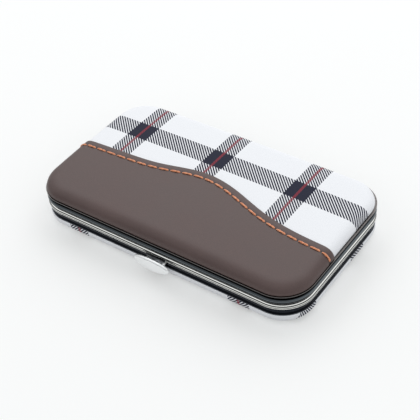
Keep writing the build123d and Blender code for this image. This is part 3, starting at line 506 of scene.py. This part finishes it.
def plastic(name, colour, shade, rough, scale=900.0):
    """Moulded plastic or foam: an even colour broken by a fine noise that also roughens it."""
    r = Recipe(name)
    grain = r.noise(r.places(), scale, 3.0, 0.6)
    mixed = r.mix(r.remap(grain, 0.3, 0.7, 0, 1), shade, colour)
    return r.set(
        Base_Color=mixed,
        Roughness=r.remap(grain, 0.2, 0.8, rough - 0.06, rough + 0.06),
        Normal=r.bump(grain, 0.12, 0.04 * MM),
    )


def flocked():
    """Short nap on the linings: fine noise in colour and height, with a soft sheen."""
    r = Recipe("flocked_lining", Sheen_Weight=0.6, Sheen_Roughness=0.4)
    nap = r.noise(r.places(), 4200.0, 3.0, 0.7)
    drift = r.noise(r.places(), 120.0, 3.0, 0.6)
    mixed = r.mix(r.remap(nap, 0.3, 0.7, 0, 1), rgb(36, 30, 29), rgb(58, 50, 48))
    mixed = r.mix(r.remap(drift, 0.35, 0.75, 0, 0.35), mixed, rgb(36, 30, 29))
    return r.set(
        Base_Color=mixed, Roughness=r.remap(nap, 0.2, 0.8, 0.85, 0.98), Normal=r.bump(nap, 0.5, 0.12 * MM)
    )


def strap_leather():
    """Thin dark leather of the straps, with a grained face."""
    r = Recipe("strap_leather", Specular_IOR_Level=0.4)
    at = r.places()
    grain = r.cells(at, 2200.0)
    blotch = r.noise(at, 180.0)
    colour = r.mix(r.remap(blotch, 0.3, 0.7, 0, 1), rgb(62, 49, 45), rgb(78, 64, 59))
    colour = r.mix(r.remap(grain, 0.1, 0.7, 0.3, 0.0), colour, rgb(34, 26, 23))
    rough = r.remap(blotch, 0.2, 0.8, 0.48, 0.6)
    return r.set(Base_Color=colour, Roughness=rough, Normal=r.bump(grain, 0.4, 0.08 * MM))


def sewing_thread():
    """Orange thread: lighter and darker fibres that follow its twist."""
    r = Recipe("orange_thread", Sheen_Weight=0.3)
    twist = r.noise(r.places(), 2600.0, 2.0)
    colour = r.mix(r.remap(twist, 0.3, 0.7, 0, 1), rgb(196, 108, 68), rgb(240, 166, 120))
    rough = r.remap(twist, 0.2, 0.8, 0.5, 0.66)
    return r.set(Base_Color=colour, Roughness=rough, Normal=r.bump(twist, 0.3, 0.04 * MM))


def dress(name, material):
    """Gives a CAD node its material, in every slot."""
    slots = node[name].data.materials
    if len(slots) == 0:
        slots.append(material)
    for i in range(len(slots)):
        slots[i] = material


# Skins
def seam_line():
    """Flat places along the stitch line, spaced by arc length, with the arc length at each."""
    end = half_length - lid_foot_inset + roll_length
    u = np.linspace(-end, end, 4001)
    place, slope = edge_curve(u)
    stretch = np.sqrt(1 + slope**2)
    line_u = u + stitch_inset * slope / stretch
    line_v = place - stitch_inset / stretch
    length = np.concatenate([[0], np.cumsum(np.hypot(np.diff(line_u), np.diff(line_v)))])
    return line_u, line_v, length


seam_u, seam_v, seam_length = seam_line()
stitch_count = int(seam_length[-1] / stitch_pitch)
seam_start = (seam_length[-1] - stitch_count * stitch_pitch) / 2


def needle_dips(from_edge, along):
    """1 at each needle hole, falling off round it as a bell."""
    phase = (along - seam_start) / stitch_pitch
    to_hole = (phase - np.round(phase)) * stitch_pitch
    return np.exp(-((from_edge - stitch_inset) ** 2 + to_hole**2) / needle_hole**2)


def leather_depth(from_edge, along):
    """Depth of the leather under its free surface: the cut edge rolls down, the seam pulls in a groove."""
    rolled = np.clip(1 - from_edge / edge_round, 0, 1)
    edge = (leather_step + leather_bury) * (1 - np.sqrt(1 - rolled**2))
    groove = groove_depth * np.exp(-(((from_edge - stitch_inset) / groove_half) ** 2))
    swell = -swell_height * np.exp(-(((from_edge - stitch_inset / 2) / swell_half) ** 2))
    return edge + groove + swell + needle_dip * needle_dips(from_edge, along)


def leather_panel():
    """Leather over the front: columns run from the wavy edge to the front rim.

    The first rows keep an even distance from the edge, the others share out what is left."""
    reach_u = half_length - lid_foot_inset + flat_reach
    reach_v = half_width - lid_foot_inset + flat_reach
    radius = corner_radius - lid_foot_inset + flat_reach
    u = flat_columns(reach_u, radius, middle=340, corner=70)
    place, slope = edge_curve(u)
    near = np.array(
        [0, 0.06, 0.13, 0.22, 0.32, 0.45, 0.7, 1.1, 1.6, 2.1, 2.45, 2.7, 2.85, 3.0, 3.15, 3.3, 3.6, 4.0, 4.5]
    ) * MM
    stretch = np.sqrt(1 + slope**2)
    end = -flat_end(u, reach_u, reach_v, radius)
    last = place - near[-1] * stretch
    share = np.linspace(0, 1, 66)[1:, None]
    v = np.concatenate([place - near[:, None] * stretch, last + (end - last) * share])
    grid_u = np.broadcast_to(u, v.shape)
    from_edge = (place - v) / stretch
    along = np.interp(u, seam_u, seam_length) + 0 * v
    points = lid_point(grid_u, v, leather_depth(from_edge, along))
    cut = np.exp(-((from_edge / cut_edge) ** 2))
    # Darker along the cut edge, with painted shade in the needle holes
    edge_dark_and_hole_shade = np.clip(needle_dips(from_edge, along) + cut, 0, 1)
    faces = grid_faces(*v.shape, flip=True)
    return give_wall(new_piece("leather_skin", points, faces, {"edge_dark_and_hole_shade": edge_dark_and_hole_shade}), leather_skin)


def lid_plaid():
    """Cloth over the back, which carries on under the leather's edge."""
    reach_u = half_length - lid_foot_inset + flat_reach
    reach_v = half_width - lid_foot_inset + flat_reach
    radius = corner_radius - lid_foot_inset + flat_reach
    u = flat_columns(reach_u, radius, middle=120, corner=40)
    start = edge_curve(u)[0] - lap
    end = flat_end(u, reach_u, reach_v, radius)
    share = np.linspace(0, 1, 90)[:, None]
    v = start + (end - start) * share
    grid_u = np.broadcast_to(u, v.shape)
    cloth = np.stack([grid_u, v, 0 * v], -1)
    points = lid_point(grid_u, v, leather_step)
    piece = new_piece("plaid_skin_lid", points, grid_faces(*v.shape), {"cloth": cloth})
    return give_wall(piece, fabric_thickness)


def outline_loop(inset, straight_long, straight_short, corner):
    """Points and outward directions round the outline, drawn in by an inset, anticlockwise from above.

    Each quarter is a corner's arc, then the straight side that leads to the next corner."""
    radius = corner_radius - inset
    reach = np.array([half_length - corner_radius, half_width - corner_radius])
    signs = np.array([(1, 1), (-1, 1), (-1, -1), (1, -1)])
    centres = []
    normals = []
    for quarter in range(4):
        swing = np.linspace(0, pi / 2, corner + 1) + quarter * pi / 2
        arc = np.stack([np.cos(swing), np.sin(swing)], -1)
        here = signs[quarter] * reach
        there = signs[(quarter + 1) % 4] * reach
        count = straight_short if quarter % 2 else straight_long
        share = np.linspace(0, 1, count + 1)[1:-1, None]
        centres += [np.broadcast_to(here, arc.shape), here + (there - here) * share]
        normals += [arc, np.broadcast_to(arc[-1], (count - 1, 2))]
    normal = np.concatenate(normals)
    return np.concatenate(centres) + normal * radius, normal


def base_plaid():
    """Cloth under the lower half: a flat bottom, a roll up to the frame's lip and a tuck under it."""
    foot, normal = outline_loop(base_foot_inset, straight_long=60, straight_short=30, corner=24)
    turn = np.linspace(0, pi / 2, 14)
    roll = np.stack([base_roll * np.sin(turn), base_roll * (1 - np.cos(turn)), base_roll * turn], -1)
    wall_top = base_rim - base_tuck
    curl = np.linspace(0, pi / 2, 5)
    tuck = np.stack([
        base_roll - base_tuck * (1 - np.cos(curl)),
        wall_top + base_tuck * np.sin(curl),
        base_roll * pi / 2 + wall_top - base_roll + base_tuck * curl,
    ], -1)
    inward = tuck[-1:] + np.array([[-base_run, 0, base_run]])
    profile = np.concatenate([roll, tuck, inward])
    ring = foot + normal * profile[:, None, :1]
    height = np.broadcast_to(profile[:, None, 1:2], (*ring.shape[:2], 1))
    points = np.concatenate([ring, height], -1)
    flat = foot + normal * profile[:, None, 2:] + base_cloth_shift
    cloth = np.concatenate([flat, 0 * height], -1)
    faces = grid_faces(len(profile), len(foot), wrap=True)
    faces.append(list(range(len(foot)))[::-1])
    piece = new_piece("plaid_skin_base", points, faces, {"cloth": cloth.reshape(-1, 3)})
    return give_wall(piece, fabric_thickness)


def unit(vectors):
    """Vectors over their own lengths."""
    return vectors / np.linalg.norm(vectors, axis=-1, keepdims=True)


def threads(name, centre, above, radius):
    """Sewn stitches, one for each row of centre points, with the point above each giving its upper side.

    The section is a flattened circle with two plies that wind along it, and each end tapers to a round."""
    count, along = centre.shape[:2]
    around = 12
    share = np.linspace(0, 1, along)
    tangent = unit(np.gradient(centre, axis=1))
    side = unit(np.cross(tangent, above - centre))
    out = np.cross(side, tangent)
    angle = np.linspace(0, 2 * pi, around, endpoint=False)
    taper = np.sqrt(np.clip(1 - (2 * share - 1) ** 8, 0.02, 1))[:, None]
    ply = 1 + ply_swell * np.cos(2 * angle - 2 * pi * ply_turns * share[:, None])
    across = thread_section[0] * np.cos(angle)[:, None] * side[:, :, None]
    section = across + thread_section[1] * np.sin(angle)[:, None] * out[:, :, None]
    points = centre[:, :, None] + radius * (taper * ply)[None, :, :, None] * section
    start = (np.arange(count) * along * around)[:, None, None]
    tube = (np.array(grid_faces(along, around, flip=True, wrap=True)) + start).reshape(-1, 4)
    ring = np.arange(around) + start[:, 0]
    last = ring + (along - 1) * around
    return new_piece(name, points, tube.tolist() + ring.tolist() + last[:, ::-1].tolist())


def thread_rise(share):
    """How far along its height a stitch has risen out of its needle hole, from 0 to 1 and back."""
    return np.sqrt(np.clip(1 - (2 * share - 1) ** 4, 0, 1))


def edge_stitches():
    """Row of stitches along the leather's edge, each from one needle hole to the next."""
    share = np.linspace(0, 1, 26)
    first = seam_start + np.arange(stitch_count) * stitch_pitch + stitch_gap / 2
    length = first[:, None] + share * (stitch_pitch - stitch_gap)
    u = np.interp(length, seam_length, seam_u)
    v = np.interp(length, seam_length, seam_v)
    depth = stitch_sink - stitch_rise * thread_rise(share)
    above = lid_point(u, v, depth - thread_guide)
    return threads("edge_stitching", lid_point(u, v, depth), above, thread_radius)


# Straps
def strap_route(corners):
    """Middle line of a strap in the plane across the case, with its length at each point.

    It is the straight route through its corners, averaged over a short length so that it bends softly."""
    corners = np.array(corners)
    at = np.concatenate([[0], np.cumsum(np.hypot(*np.diff(corners, axis=0).T))])
    length = np.linspace(0, at[-1], int(at[-1] / strap_step))
    half = int(strap_bend / (length[1] - length[0]) / 2)
    smooth = np.empty((len(length), 2))
    for axis in (0, 1):
        line = np.interp(length, at, corners[:, axis])
        sums = np.concatenate([[0], np.cumsum(line)])
        place = np.arange(len(line))
        reach = np.minimum(half, np.minimum(place, len(line) - 1 - place))
        smooth[:, axis] = (sums[place + reach + 1] - sums[place - reach]) / (2 * reach + 1)
    return smooth, length


def strap(name, strap_node, corners, face):
    """Leather strip along its route: flat back, rounded edges and a pressed line under each seam.

    face is 1 where its face looks up and -1 where it looks down."""
    low, high = box_of(strap_node)
    middle = (low[0] + high[0]) / 2
    half = (high[0] - low[0]) / 2
    route, length = strap_route(corners)
    tangent = unit(np.gradient(route, axis=0))
    normal = np.stack([-tangent[:, 1], tangent[:, 0]], -1) * face
    across = np.sin(np.linspace(-pi / 2, pi / 2, 45)) * half
    edge = np.clip((np.abs(across) - half) / (strap_thickness / 2) + 1, 0, 1)
    rise = strap_thickness / 2 * np.sqrt(1 - edge**2)
    seam = half - strap_stitch_inset
    pressed = strap_press_depth * np.exp(-(((np.abs(across) - seam) / strap_press_half) ** 2))
    x = np.concatenate([across, across[-2:0:-1]])
    lift = np.concatenate([rise - pressed, -rise[-2:0:-1]])
    points = np.empty((len(route), len(x), 3))
    points[..., 0] = middle + x
    points[..., 1:] = route[:, None] + normal[:, None] * lift[:, None]
    faces = grid_faces(*points.shape[:2], flip=face < 0, wrap=True)
    ring = list(range(len(x)))
    caps = [ring[::-1], [len(x) * (len(route) - 1) + i for i in ring]]
    faces += caps if face > 0 else [cap[::-1] for cap in caps]
    leather = new_piece(name, points, faces)

    count = int((length[-1] - strap_stitch_ends) / strap_stitch_pitch)
    start = (length[-1] - count * strap_stitch_pitch) / 2
    share = np.linspace(0, 1, 12)
    place = start + strap_stitch_gap / 2 + np.arange(count)[:, None] * strap_stitch_pitch
    place = place + share * (strap_stitch_pitch - strap_stitch_gap)
    height = strap_thickness / 2 - strap_stitch_sink + strap_stitch_rise * thread_rise(share)
    sewn = []
    for side in (-1, 1):
        for extra in (0, thread_guide):
            line = np.empty((*place.shape, 3))
            line[..., 0] = middle + side * seam
            for axis in (0, 1):
                on_route = np.interp(place, length, route[:, axis])
                slant = np.interp(place, length, normal[:, axis])
                line[..., axis + 1] = on_route + slant * (height + extra)
            sewn.append(line)
    centre = np.concatenate([sewn[0], sewn[2]])
    above = np.concatenate([sewn[1], sewn[3]])
    return leather, threads(name + "_stitching", centre, above, strap_thread_radius)


def base_strap():
    """Strap over the scissors and the clipper, from foot to foot."""
    low, high = box_of("tool_strap_base")
    scissors_top = box_of("scissors_blade_lower")[1][2]
    clipper_low, clipper_high = box_of("clipper_lower_jaw")
    clipper_top = box_of("clipper_lever")[1][2] + strap_reach
    foot = low[2] + strap_thickness / 2
    front = low[1] + strap_foot
    rear = front + 2 * ring_spread
    arch = scissors_top + strap_reach
    clipper_front = clipper_low[1] - strap_reach
    clipper_back = clipper_high[1] + strap_reach
    return strap("base_strap", "tool_strap_base", [
        (low[1], foot),
        (front, foot),
        (front + strap_slope, arch),
        (rear - strap_slope, arch),
        (rear, foot),
        (clipper_front, foot),
        (clipper_front, clipper_top),
        (clipper_back, clipper_top),
        (clipper_back, foot),
        (high[1], foot),
    ], 1)


def lid_strap():
    """Strap under the tools of the lid, from foot to foot, with its face downwards."""
    low, high = box_of("tool_strap_lid")
    foot = high[2] - strap_thickness / 2
    front = low[1] + strap_foot
    rear = high[1] - strap_foot
    tweezers_drop = box_of("tweezers_arm_lower")[0][2] - strap_reach
    pusher_drop = box_of("cuticle_pusher")[0][2] - strap_reach
    return strap("lid_strap", "tool_strap_lid", [
        (low[1], foot),
        (front, foot),
        (front, tweezers_drop),
        (rear, pusher_drop),
        (rear, foot),
        (high[1], foot),
    ], -1)


# Button and springs
def button_plate():
    """Oval plate of the button: a face domed as a large sphere, a quarter-ellipse edge and a flat back.

    Each ring of points is the ellipse inside the edge, scaled or moved out along its normal."""
    face_rows, edge_rows, back_rows, columns = 12, 10, 6, 96
    low, high = box_of("push_button")
    centre = (low[2] + high[2]) / 2
    turn = np.linspace(0, 2 * pi, columns, endpoint=False)
    circle = np.stack([np.cos(turn), np.sin(turn)], -1)
    oval = np.array([high[0], (high[2] - low[2]) / 2])
    inner = (oval - rim_width) * circle
    bend = np.linspace(0, pi / 2, edge_rows + 1)[1:, None]
    face = np.linspace(0.1, 1, face_rows)[:, None, None] * inner
    edge = inner + unit(circle / oval) * rim_width * np.sin(bend)[..., None]
    back = np.linspace(1, 0.1, back_rows)[:, None, None] * edge[-1]
    dome = (face**2).sum(-1) / (2 * plate_crown)
    rim = dome[-1] + rim_depth * (1 - np.cos(bend))
    rings = np.concatenate([face, edge, back])
    depth = np.concatenate([dome, rim, np.full((back_rows, columns), plate_thickness)])
    points = np.stack([rings[..., 0], low[1] + depth, centre + rings[..., 1]], -1)
    faces = grid_faces(*depth.shape, flip=True, wrap=True)
    ring = list(range(columns))
    faces += [ring, [depth.size - columns + i for i in ring[::-1]]]
    return points.reshape(-1, 3), faces


def button_stem():
    """Flat stem from the plate to the slider, with its two rivet holes.

    Its upper and lower sides are split in two along the line through the holes."""
    low, high = box_of("push_button")
    rivet_low, rivet_high = box_of("slider_rivets")
    half = stem_width / 2
    front = low[1] + plate_thickness - stem_bury
    middle = (rivet_low[1] + rivet_high[1]) / 2
    plan = [(-half, front), (half, front), (half, middle), (half, high[1]), (-half, high[1]), (-half, middle)]
    around = 24
    turn = np.linspace(0, 2 * pi, around, endpoint=False)
    right = len(plan) + np.arange(around)
    left = right + around
    for x in stem_holes:
        plan += zip(x + stem_hole_radius * np.cos(turn), middle + stem_hole_radius * np.sin(turn))
    count = len(plan)
    lower = np.append(0, np.arange(around - 1, around // 2 - 1, -1))
    upper = np.arange(around // 2, -1, -1)
    sides = [
        [0, 1, 2, *right[lower].tolist(), *left[lower].tolist(), 5],
        [2, 3, 4, 5, *left[upper].tolist(), *right[upper].tolist()],
    ]
    faces = [side[::-1] for side in sides] + [[count + i for i in side] for side in sides]
    for loop in (np.arange(6), right[::-1], left[::-1]):
        faces += np.stack([loop, np.roll(loop, -1), np.roll(loop, -1) + count, loop + count], -1).tolist()
    height = np.repeat([stem_bottom, stem_bottom + stem_thickness], count)[:, None]
    return np.concatenate([np.array(plan + plan), height], -1), faces


def push_button():
    """The button's plate and stem as one piece."""
    plate, plate_faces = button_plate()
    stem, stem_faces = button_stem()
    faces = plate_faces + [[i + len(plate) for i in face] for face in stem_faces]
    return new_piece("button_plate", np.concatenate([plate, stem]), faces)


def coil_springs():
    """Two compression springs behind the slider: a round wire whose middle runs along a helix."""
    low, high = box_of("latch_springs")
    radius = (high[2] - low[2]) / 2 - spring_wire
    steps_per_turn, wire_sides = 24, 10
    share = np.linspace(0, 1, int(spring_turns * steps_per_turn) + 1)[:, None]
    wind = spring_turns * 2 * pi * share
    around = np.linspace(0, 2 * pi, wire_sides, endpoint=False)
    reach = radius + spring_wire * np.cos(around)
    length = high[1] - low[1] - 2 * spring_wire
    y = low[1] + spring_wire + length * share + spring_wire * np.sin(around)
    coil = np.stack([reach * np.cos(wind), y, (low[2] + high[2]) / 2 + reach * np.sin(wind)], -1)
    side = np.array([high[0] - radius - spring_wire, 0, 0])
    faces = grid_faces(*y.shape, wrap=True)
    ring = list(range(wire_sides))
    faces += [ring[::-1], [y.size - wire_sides + i for i in ring]]
    both = faces + [[i + y.size for i in face] for face in faces]
    return new_piece("coil_springs", np.concatenate([coil - side, coil + side]), both)


# CAD nodes
seam_height = (base_frame_high[2] + lid_frame_low[2]) / 2
# The frames are one chrome: the lower bead's bright colour and the upper bead's dark one are painted
# reflections, the flanks painted shade, the lips and the upper line painted highlights
base_metal = frame_metal(
    "base_frame_metal",
    bead=(252, 252, 247),
    flank=(34, 37, 44),
    lip=(96, 100, 106),
    line=(38, 40, 44),
    bead_range=(base_frame_high[2] - bead_height, seam_height),
    lip_range=(base_rim - lip_margin, base_rim + lip_height),
    painted_lines=[(base_frame_high[2] - below, bead_line_half) for below in bead_lines],
)
lid_metal = frame_metal(
    "lid_frame_metal",
    bead=(30, 33, 36),
    flank=(18, 20, 22),
    lip=(98, 94, 93),
    line=(104, 110, 114),
    bead_range=(seam_height, lid_frame_low[2] + lid_bead_height),
    lip_range=(lid_rim - lip_height, lid_rim + lip_margin),
    painted_lines=[(lid_frame_low[2] + lid_line, lid_line_half)],
)
steel = metal(
    "tool_steel", rgb(162, 164, 168), rgb(150, 152, 156), 0.22, 0.32, (1, 14, 14), scale=420.0, bump=0.01
)
plate_steel = metal(
    "plated_sheet", rgb(156, 158, 162), rgb(142, 144, 148), 0.26, 0.34, (8, 1, 1), scale=240.0, bump=0.01
)
fastener_steel = metal("fastener_steel", rgb(172, 174, 177), rgb(150, 152, 155), 0.24, 0.32, bump=0.01)
spring_steel = metal("spring_wire", rgb(160, 161, 164), rgb(132, 133, 137), 0.24, 0.32, bump=0.02)
button_metal = metal(
    "button_satin", rgb(248, 249, 249), rgb(242, 244, 245), 0.28, 0.33, (1, 1, 8), bump=0.005, metallic=0.85
)
file_low, file_high = box_of("nail_file")
cut_steel = file_steel(file_low[0] + file_handle + file_margin, file_high[0] - file_margin)
black_plastic = plastic("moulded_plastic", rgb(34, 34, 37), rgb(24, 24, 26), 0.5)
foam_material = plastic("foam_sheet", rgb(232, 228, 216), rgb(205, 199, 184), 0.9)
lining_material = flocked()
finishes = {
    base_metal: ["base_frame"],
    lid_metal: ["lid_frame"],
    black_plastic: ["base_shell", "lid_shell", "latch_box"],
    foam_material: ["base_foam", "lid_foam"],
    lining_material: ["base_lining", "lid_lining"],
    plate_steel: [
        "latch_cover", "latch_slider", "catch_hook", "hinge_leaf_base", "hinge_leaf_lid", "hinge_pin",
    ],
    fastener_steel: [
        "latch_screws", "hinge_rivets_base", "hinge_rivets_lid", "strap_rivets_base", "strap_rivets_lid",
        "hook_rivets", "slider_rivets", "scissors_screw", "clipper_pin",
    ],
    steel: [
        "scissors_blade_lower", "scissors_blade_upper", "clipper_lower_jaw", "clipper_upper_jaw",
        "clipper_lever", "tweezers_arm_lower", "tweezers_arm_upper", "cuticle_pusher", "ear_pick",
    ],
    cut_steel: ["nail_file"],
}
for material, names in finishes.items():
    for name in names:
        dress(name, material)

# Pieces of the scene
leather = leather_panel()
plaid_lid = lid_plaid()
plaid_base = base_plaid()
stitches = edge_stitches()
strap_base, strap_base_stitches = base_strap()
strap_lid, strap_lid_stitches = lid_strap()
springs = coil_springs()
button = push_button()
cloth_material = plaid_cloth()
strap_material = strap_leather()
thread_material = sewing_thread()
for piece, material, body, slot in (
    (leather, brown_leather(), "lid", "brown_leather"),
    (plaid_lid, cloth_material, "lid", "plaid_fabric"),
    (plaid_base, cloth_material, "base", "plaid_fabric"),
    (stitches, thread_material, "lid", "brown_leather"),
    (strap_base, strap_material, "base", "strap_leather"),
    (strap_base_stitches, thread_material, "base", "strap_leather"),
    (strap_lid, strap_material, "lid", "strap_leather"),
    (strap_lid_stitches, thread_material, "lid", "strap_leather"),
    (springs, spring_steel, "base", "spring_steel"),
    (button, button_metal, "button", "button_metal"),
):
    piece.data.materials.append(material)
    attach(piece, body)
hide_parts("leather_panel")
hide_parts("lid_cover")
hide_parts("base_cover")
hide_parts("tool_strap_base")
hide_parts("tool_strap_lid")
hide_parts("latch_springs")
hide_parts("push_button")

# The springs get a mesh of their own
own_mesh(springs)


# Floor and light
room_light = 0.8
backdrop_level = 0.95
mirror_levels = (0.25, 0.95)
mirror_heights = (-0.1, 0.35)
mirror_slant = 0.4
floor_reach = 2.0
floor_albedo = 0.64
floor_glow = 0.34


def seen_or_mirrored(r):
    """1 for what the camera sees or a mirror shows, 0 for what lights the object."""
    rays = r.node("LightPath").outputs
    return r.math("MAXIMUM", rays["Is Camera Ray"], rays["Is Glossy Ray"])


def pale_floor():
    """Matt floor with a faint unevenness. It glows only for what sees it, so the shadow stays light."""
    r = Recipe("pale_floor", Roughness=0.9, Specular_IOR_Level=0.0)
    drift = r.noise(r.places(), 2.0, 2.0)
    low = floor_albedo * 0.98
    colour = r.mix(drift, (low, low, low, 1.0), (floor_albedo, floor_albedo, floor_albedo, 1.0))
    r.surface.inputs["Emission Color"].default_value = (0.985, 1.0, 0.985, 1.0)
    glow = r.math("MULTIPLY", seen_or_mirrored(r), floor_glow)
    return r.set(Base_Color=colour, Emission_Strength=glow)


floor = new_piece(
    "floor",
    floor_reach * np.array([[-1, -1, 0], [1, -1, 0], [1, 1, 0], [-1, 1, 0]]),
    [[0, 1, 2, 3]],
)
floor.data.materials.append(pale_floor())


def area_lamp(name, place, aim, size, power):
    """Rectangular lamp at a place, turned to face its aim."""
    lamp = bpy.data.lights.new(name, "AREA")
    lamp.shape = "RECTANGLE"
    lamp.size, lamp.size_y = size
    lamp.energy = power
    holder = bpy.data.objects.new(name, lamp)
    bpy.context.scene.collection.objects.link(holder)
    holder.location = place
    holder.rotation_euler = (Vector(aim) - Vector(place)).to_track_quat("-Z", "Y").to_euler()


area_lamp("window_back", place=(-0.24, 0.68, 0.8), aim=(0, 0, 0), size=(1.4, 1.1), power=4.8)


def studio_world():
    """Even room light. The camera sees it white, and mirrors see it dim low down at the front."""
    world = bpy.data.worlds.new("studio")
    bpy.context.scene.world = world
    world.use_nodes = True
    tree = world.node_tree
    rays = tree.nodes.new("ShaderNodeLightPath").outputs
    direction = tree.nodes.new("ShaderNodeSeparateXYZ")
    tree.links.new(tree.nodes.new("ShaderNodeTexCoord").outputs["Generated"], direction.inputs[0])
    height = tree.nodes.new("ShaderNodeMath")
    height.operation = "MULTIPLY_ADD"
    tree.links.new(direction.outputs["Y"], height.inputs[0])
    height.inputs[1].default_value = mirror_slant
    tree.links.new(direction.outputs["Z"], height.inputs[2])
    mirrored = tree.nodes.new("ShaderNodeMapRange")
    tree.links.new(height.outputs[0], mirrored.inputs["Value"])
    for socket, value in zip(("From Min", "From Max", "To Min", "To Max"), mirror_heights + mirror_levels):
        mirrored.inputs[socket].default_value = value
    strength = room_light
    for ray, level in (("Is Glossy Ray", mirrored.outputs[0]), ("Is Camera Ray", backdrop_level)):
        chosen = tree.nodes.new("ShaderNodeMix")
        tree.links.new(rays[ray], chosen.inputs["Factor"])
        for socket, value in ((chosen.inputs["A"], strength), (chosen.inputs["B"], level)):
            if isinstance(value, float):
                socket.default_value = value
            else:
                tree.links.new(value, socket)
        strength = chosen.outputs["Result"]
    background = tree.nodes["Background"]
    background.inputs["Color"].default_value = (0.975, 0.99, 1.0, 1.0)
    tree.links.new(strength, background.inputs["Strength"])


studio_world()

# Camera fitted to the photograph: its direction, roll, distance and focal length in pixels of a 420 px frame
photo_size = 420
focal_pixels = 1036.57
camera_distance = 376.2 * MM
camera_azimuth = radians(38.90)
camera_elevation = radians(41.71)
camera_roll = radians(-5.77)
camera_aim = Vector((-3.12 * MM, 4.41 * MM, 0))


def photo_camera():
    """Camera at a distance from its aim, whose axes come from the azimuth, the elevation and the roll."""
    back = Vector((
        sin(camera_azimuth) * cos(camera_elevation),
        -cos(camera_azimuth) * cos(camera_elevation),
        sin(camera_elevation),
    ))
    level = Vector((cos(camera_azimuth), sin(camera_azimuth), 0))
    upright = back.cross(level)
    right = level * cos(camera_roll) + upright * sin(camera_roll)
    up = upright * cos(camera_roll) - level * sin(camera_roll)
    data = bpy.data.cameras.new("photo_camera")
    data.sensor_width = 36
    data.lens = focal_pixels / photo_size * data.sensor_width
    data.clip_start = 0.01
    holder = bpy.data.objects.new("photo_camera", data)
    bpy.context.scene.collection.objects.link(holder)
    turn = Matrix((right, up, back)).transposed()
    holder.matrix_world = Matrix.Translation(camera_aim + back * camera_distance) @ turn.to_4x4()
    bpy.context.scene.camera = holder


photo_camera()
bpy.context.scene.view_settings.view_transform = "Standard"
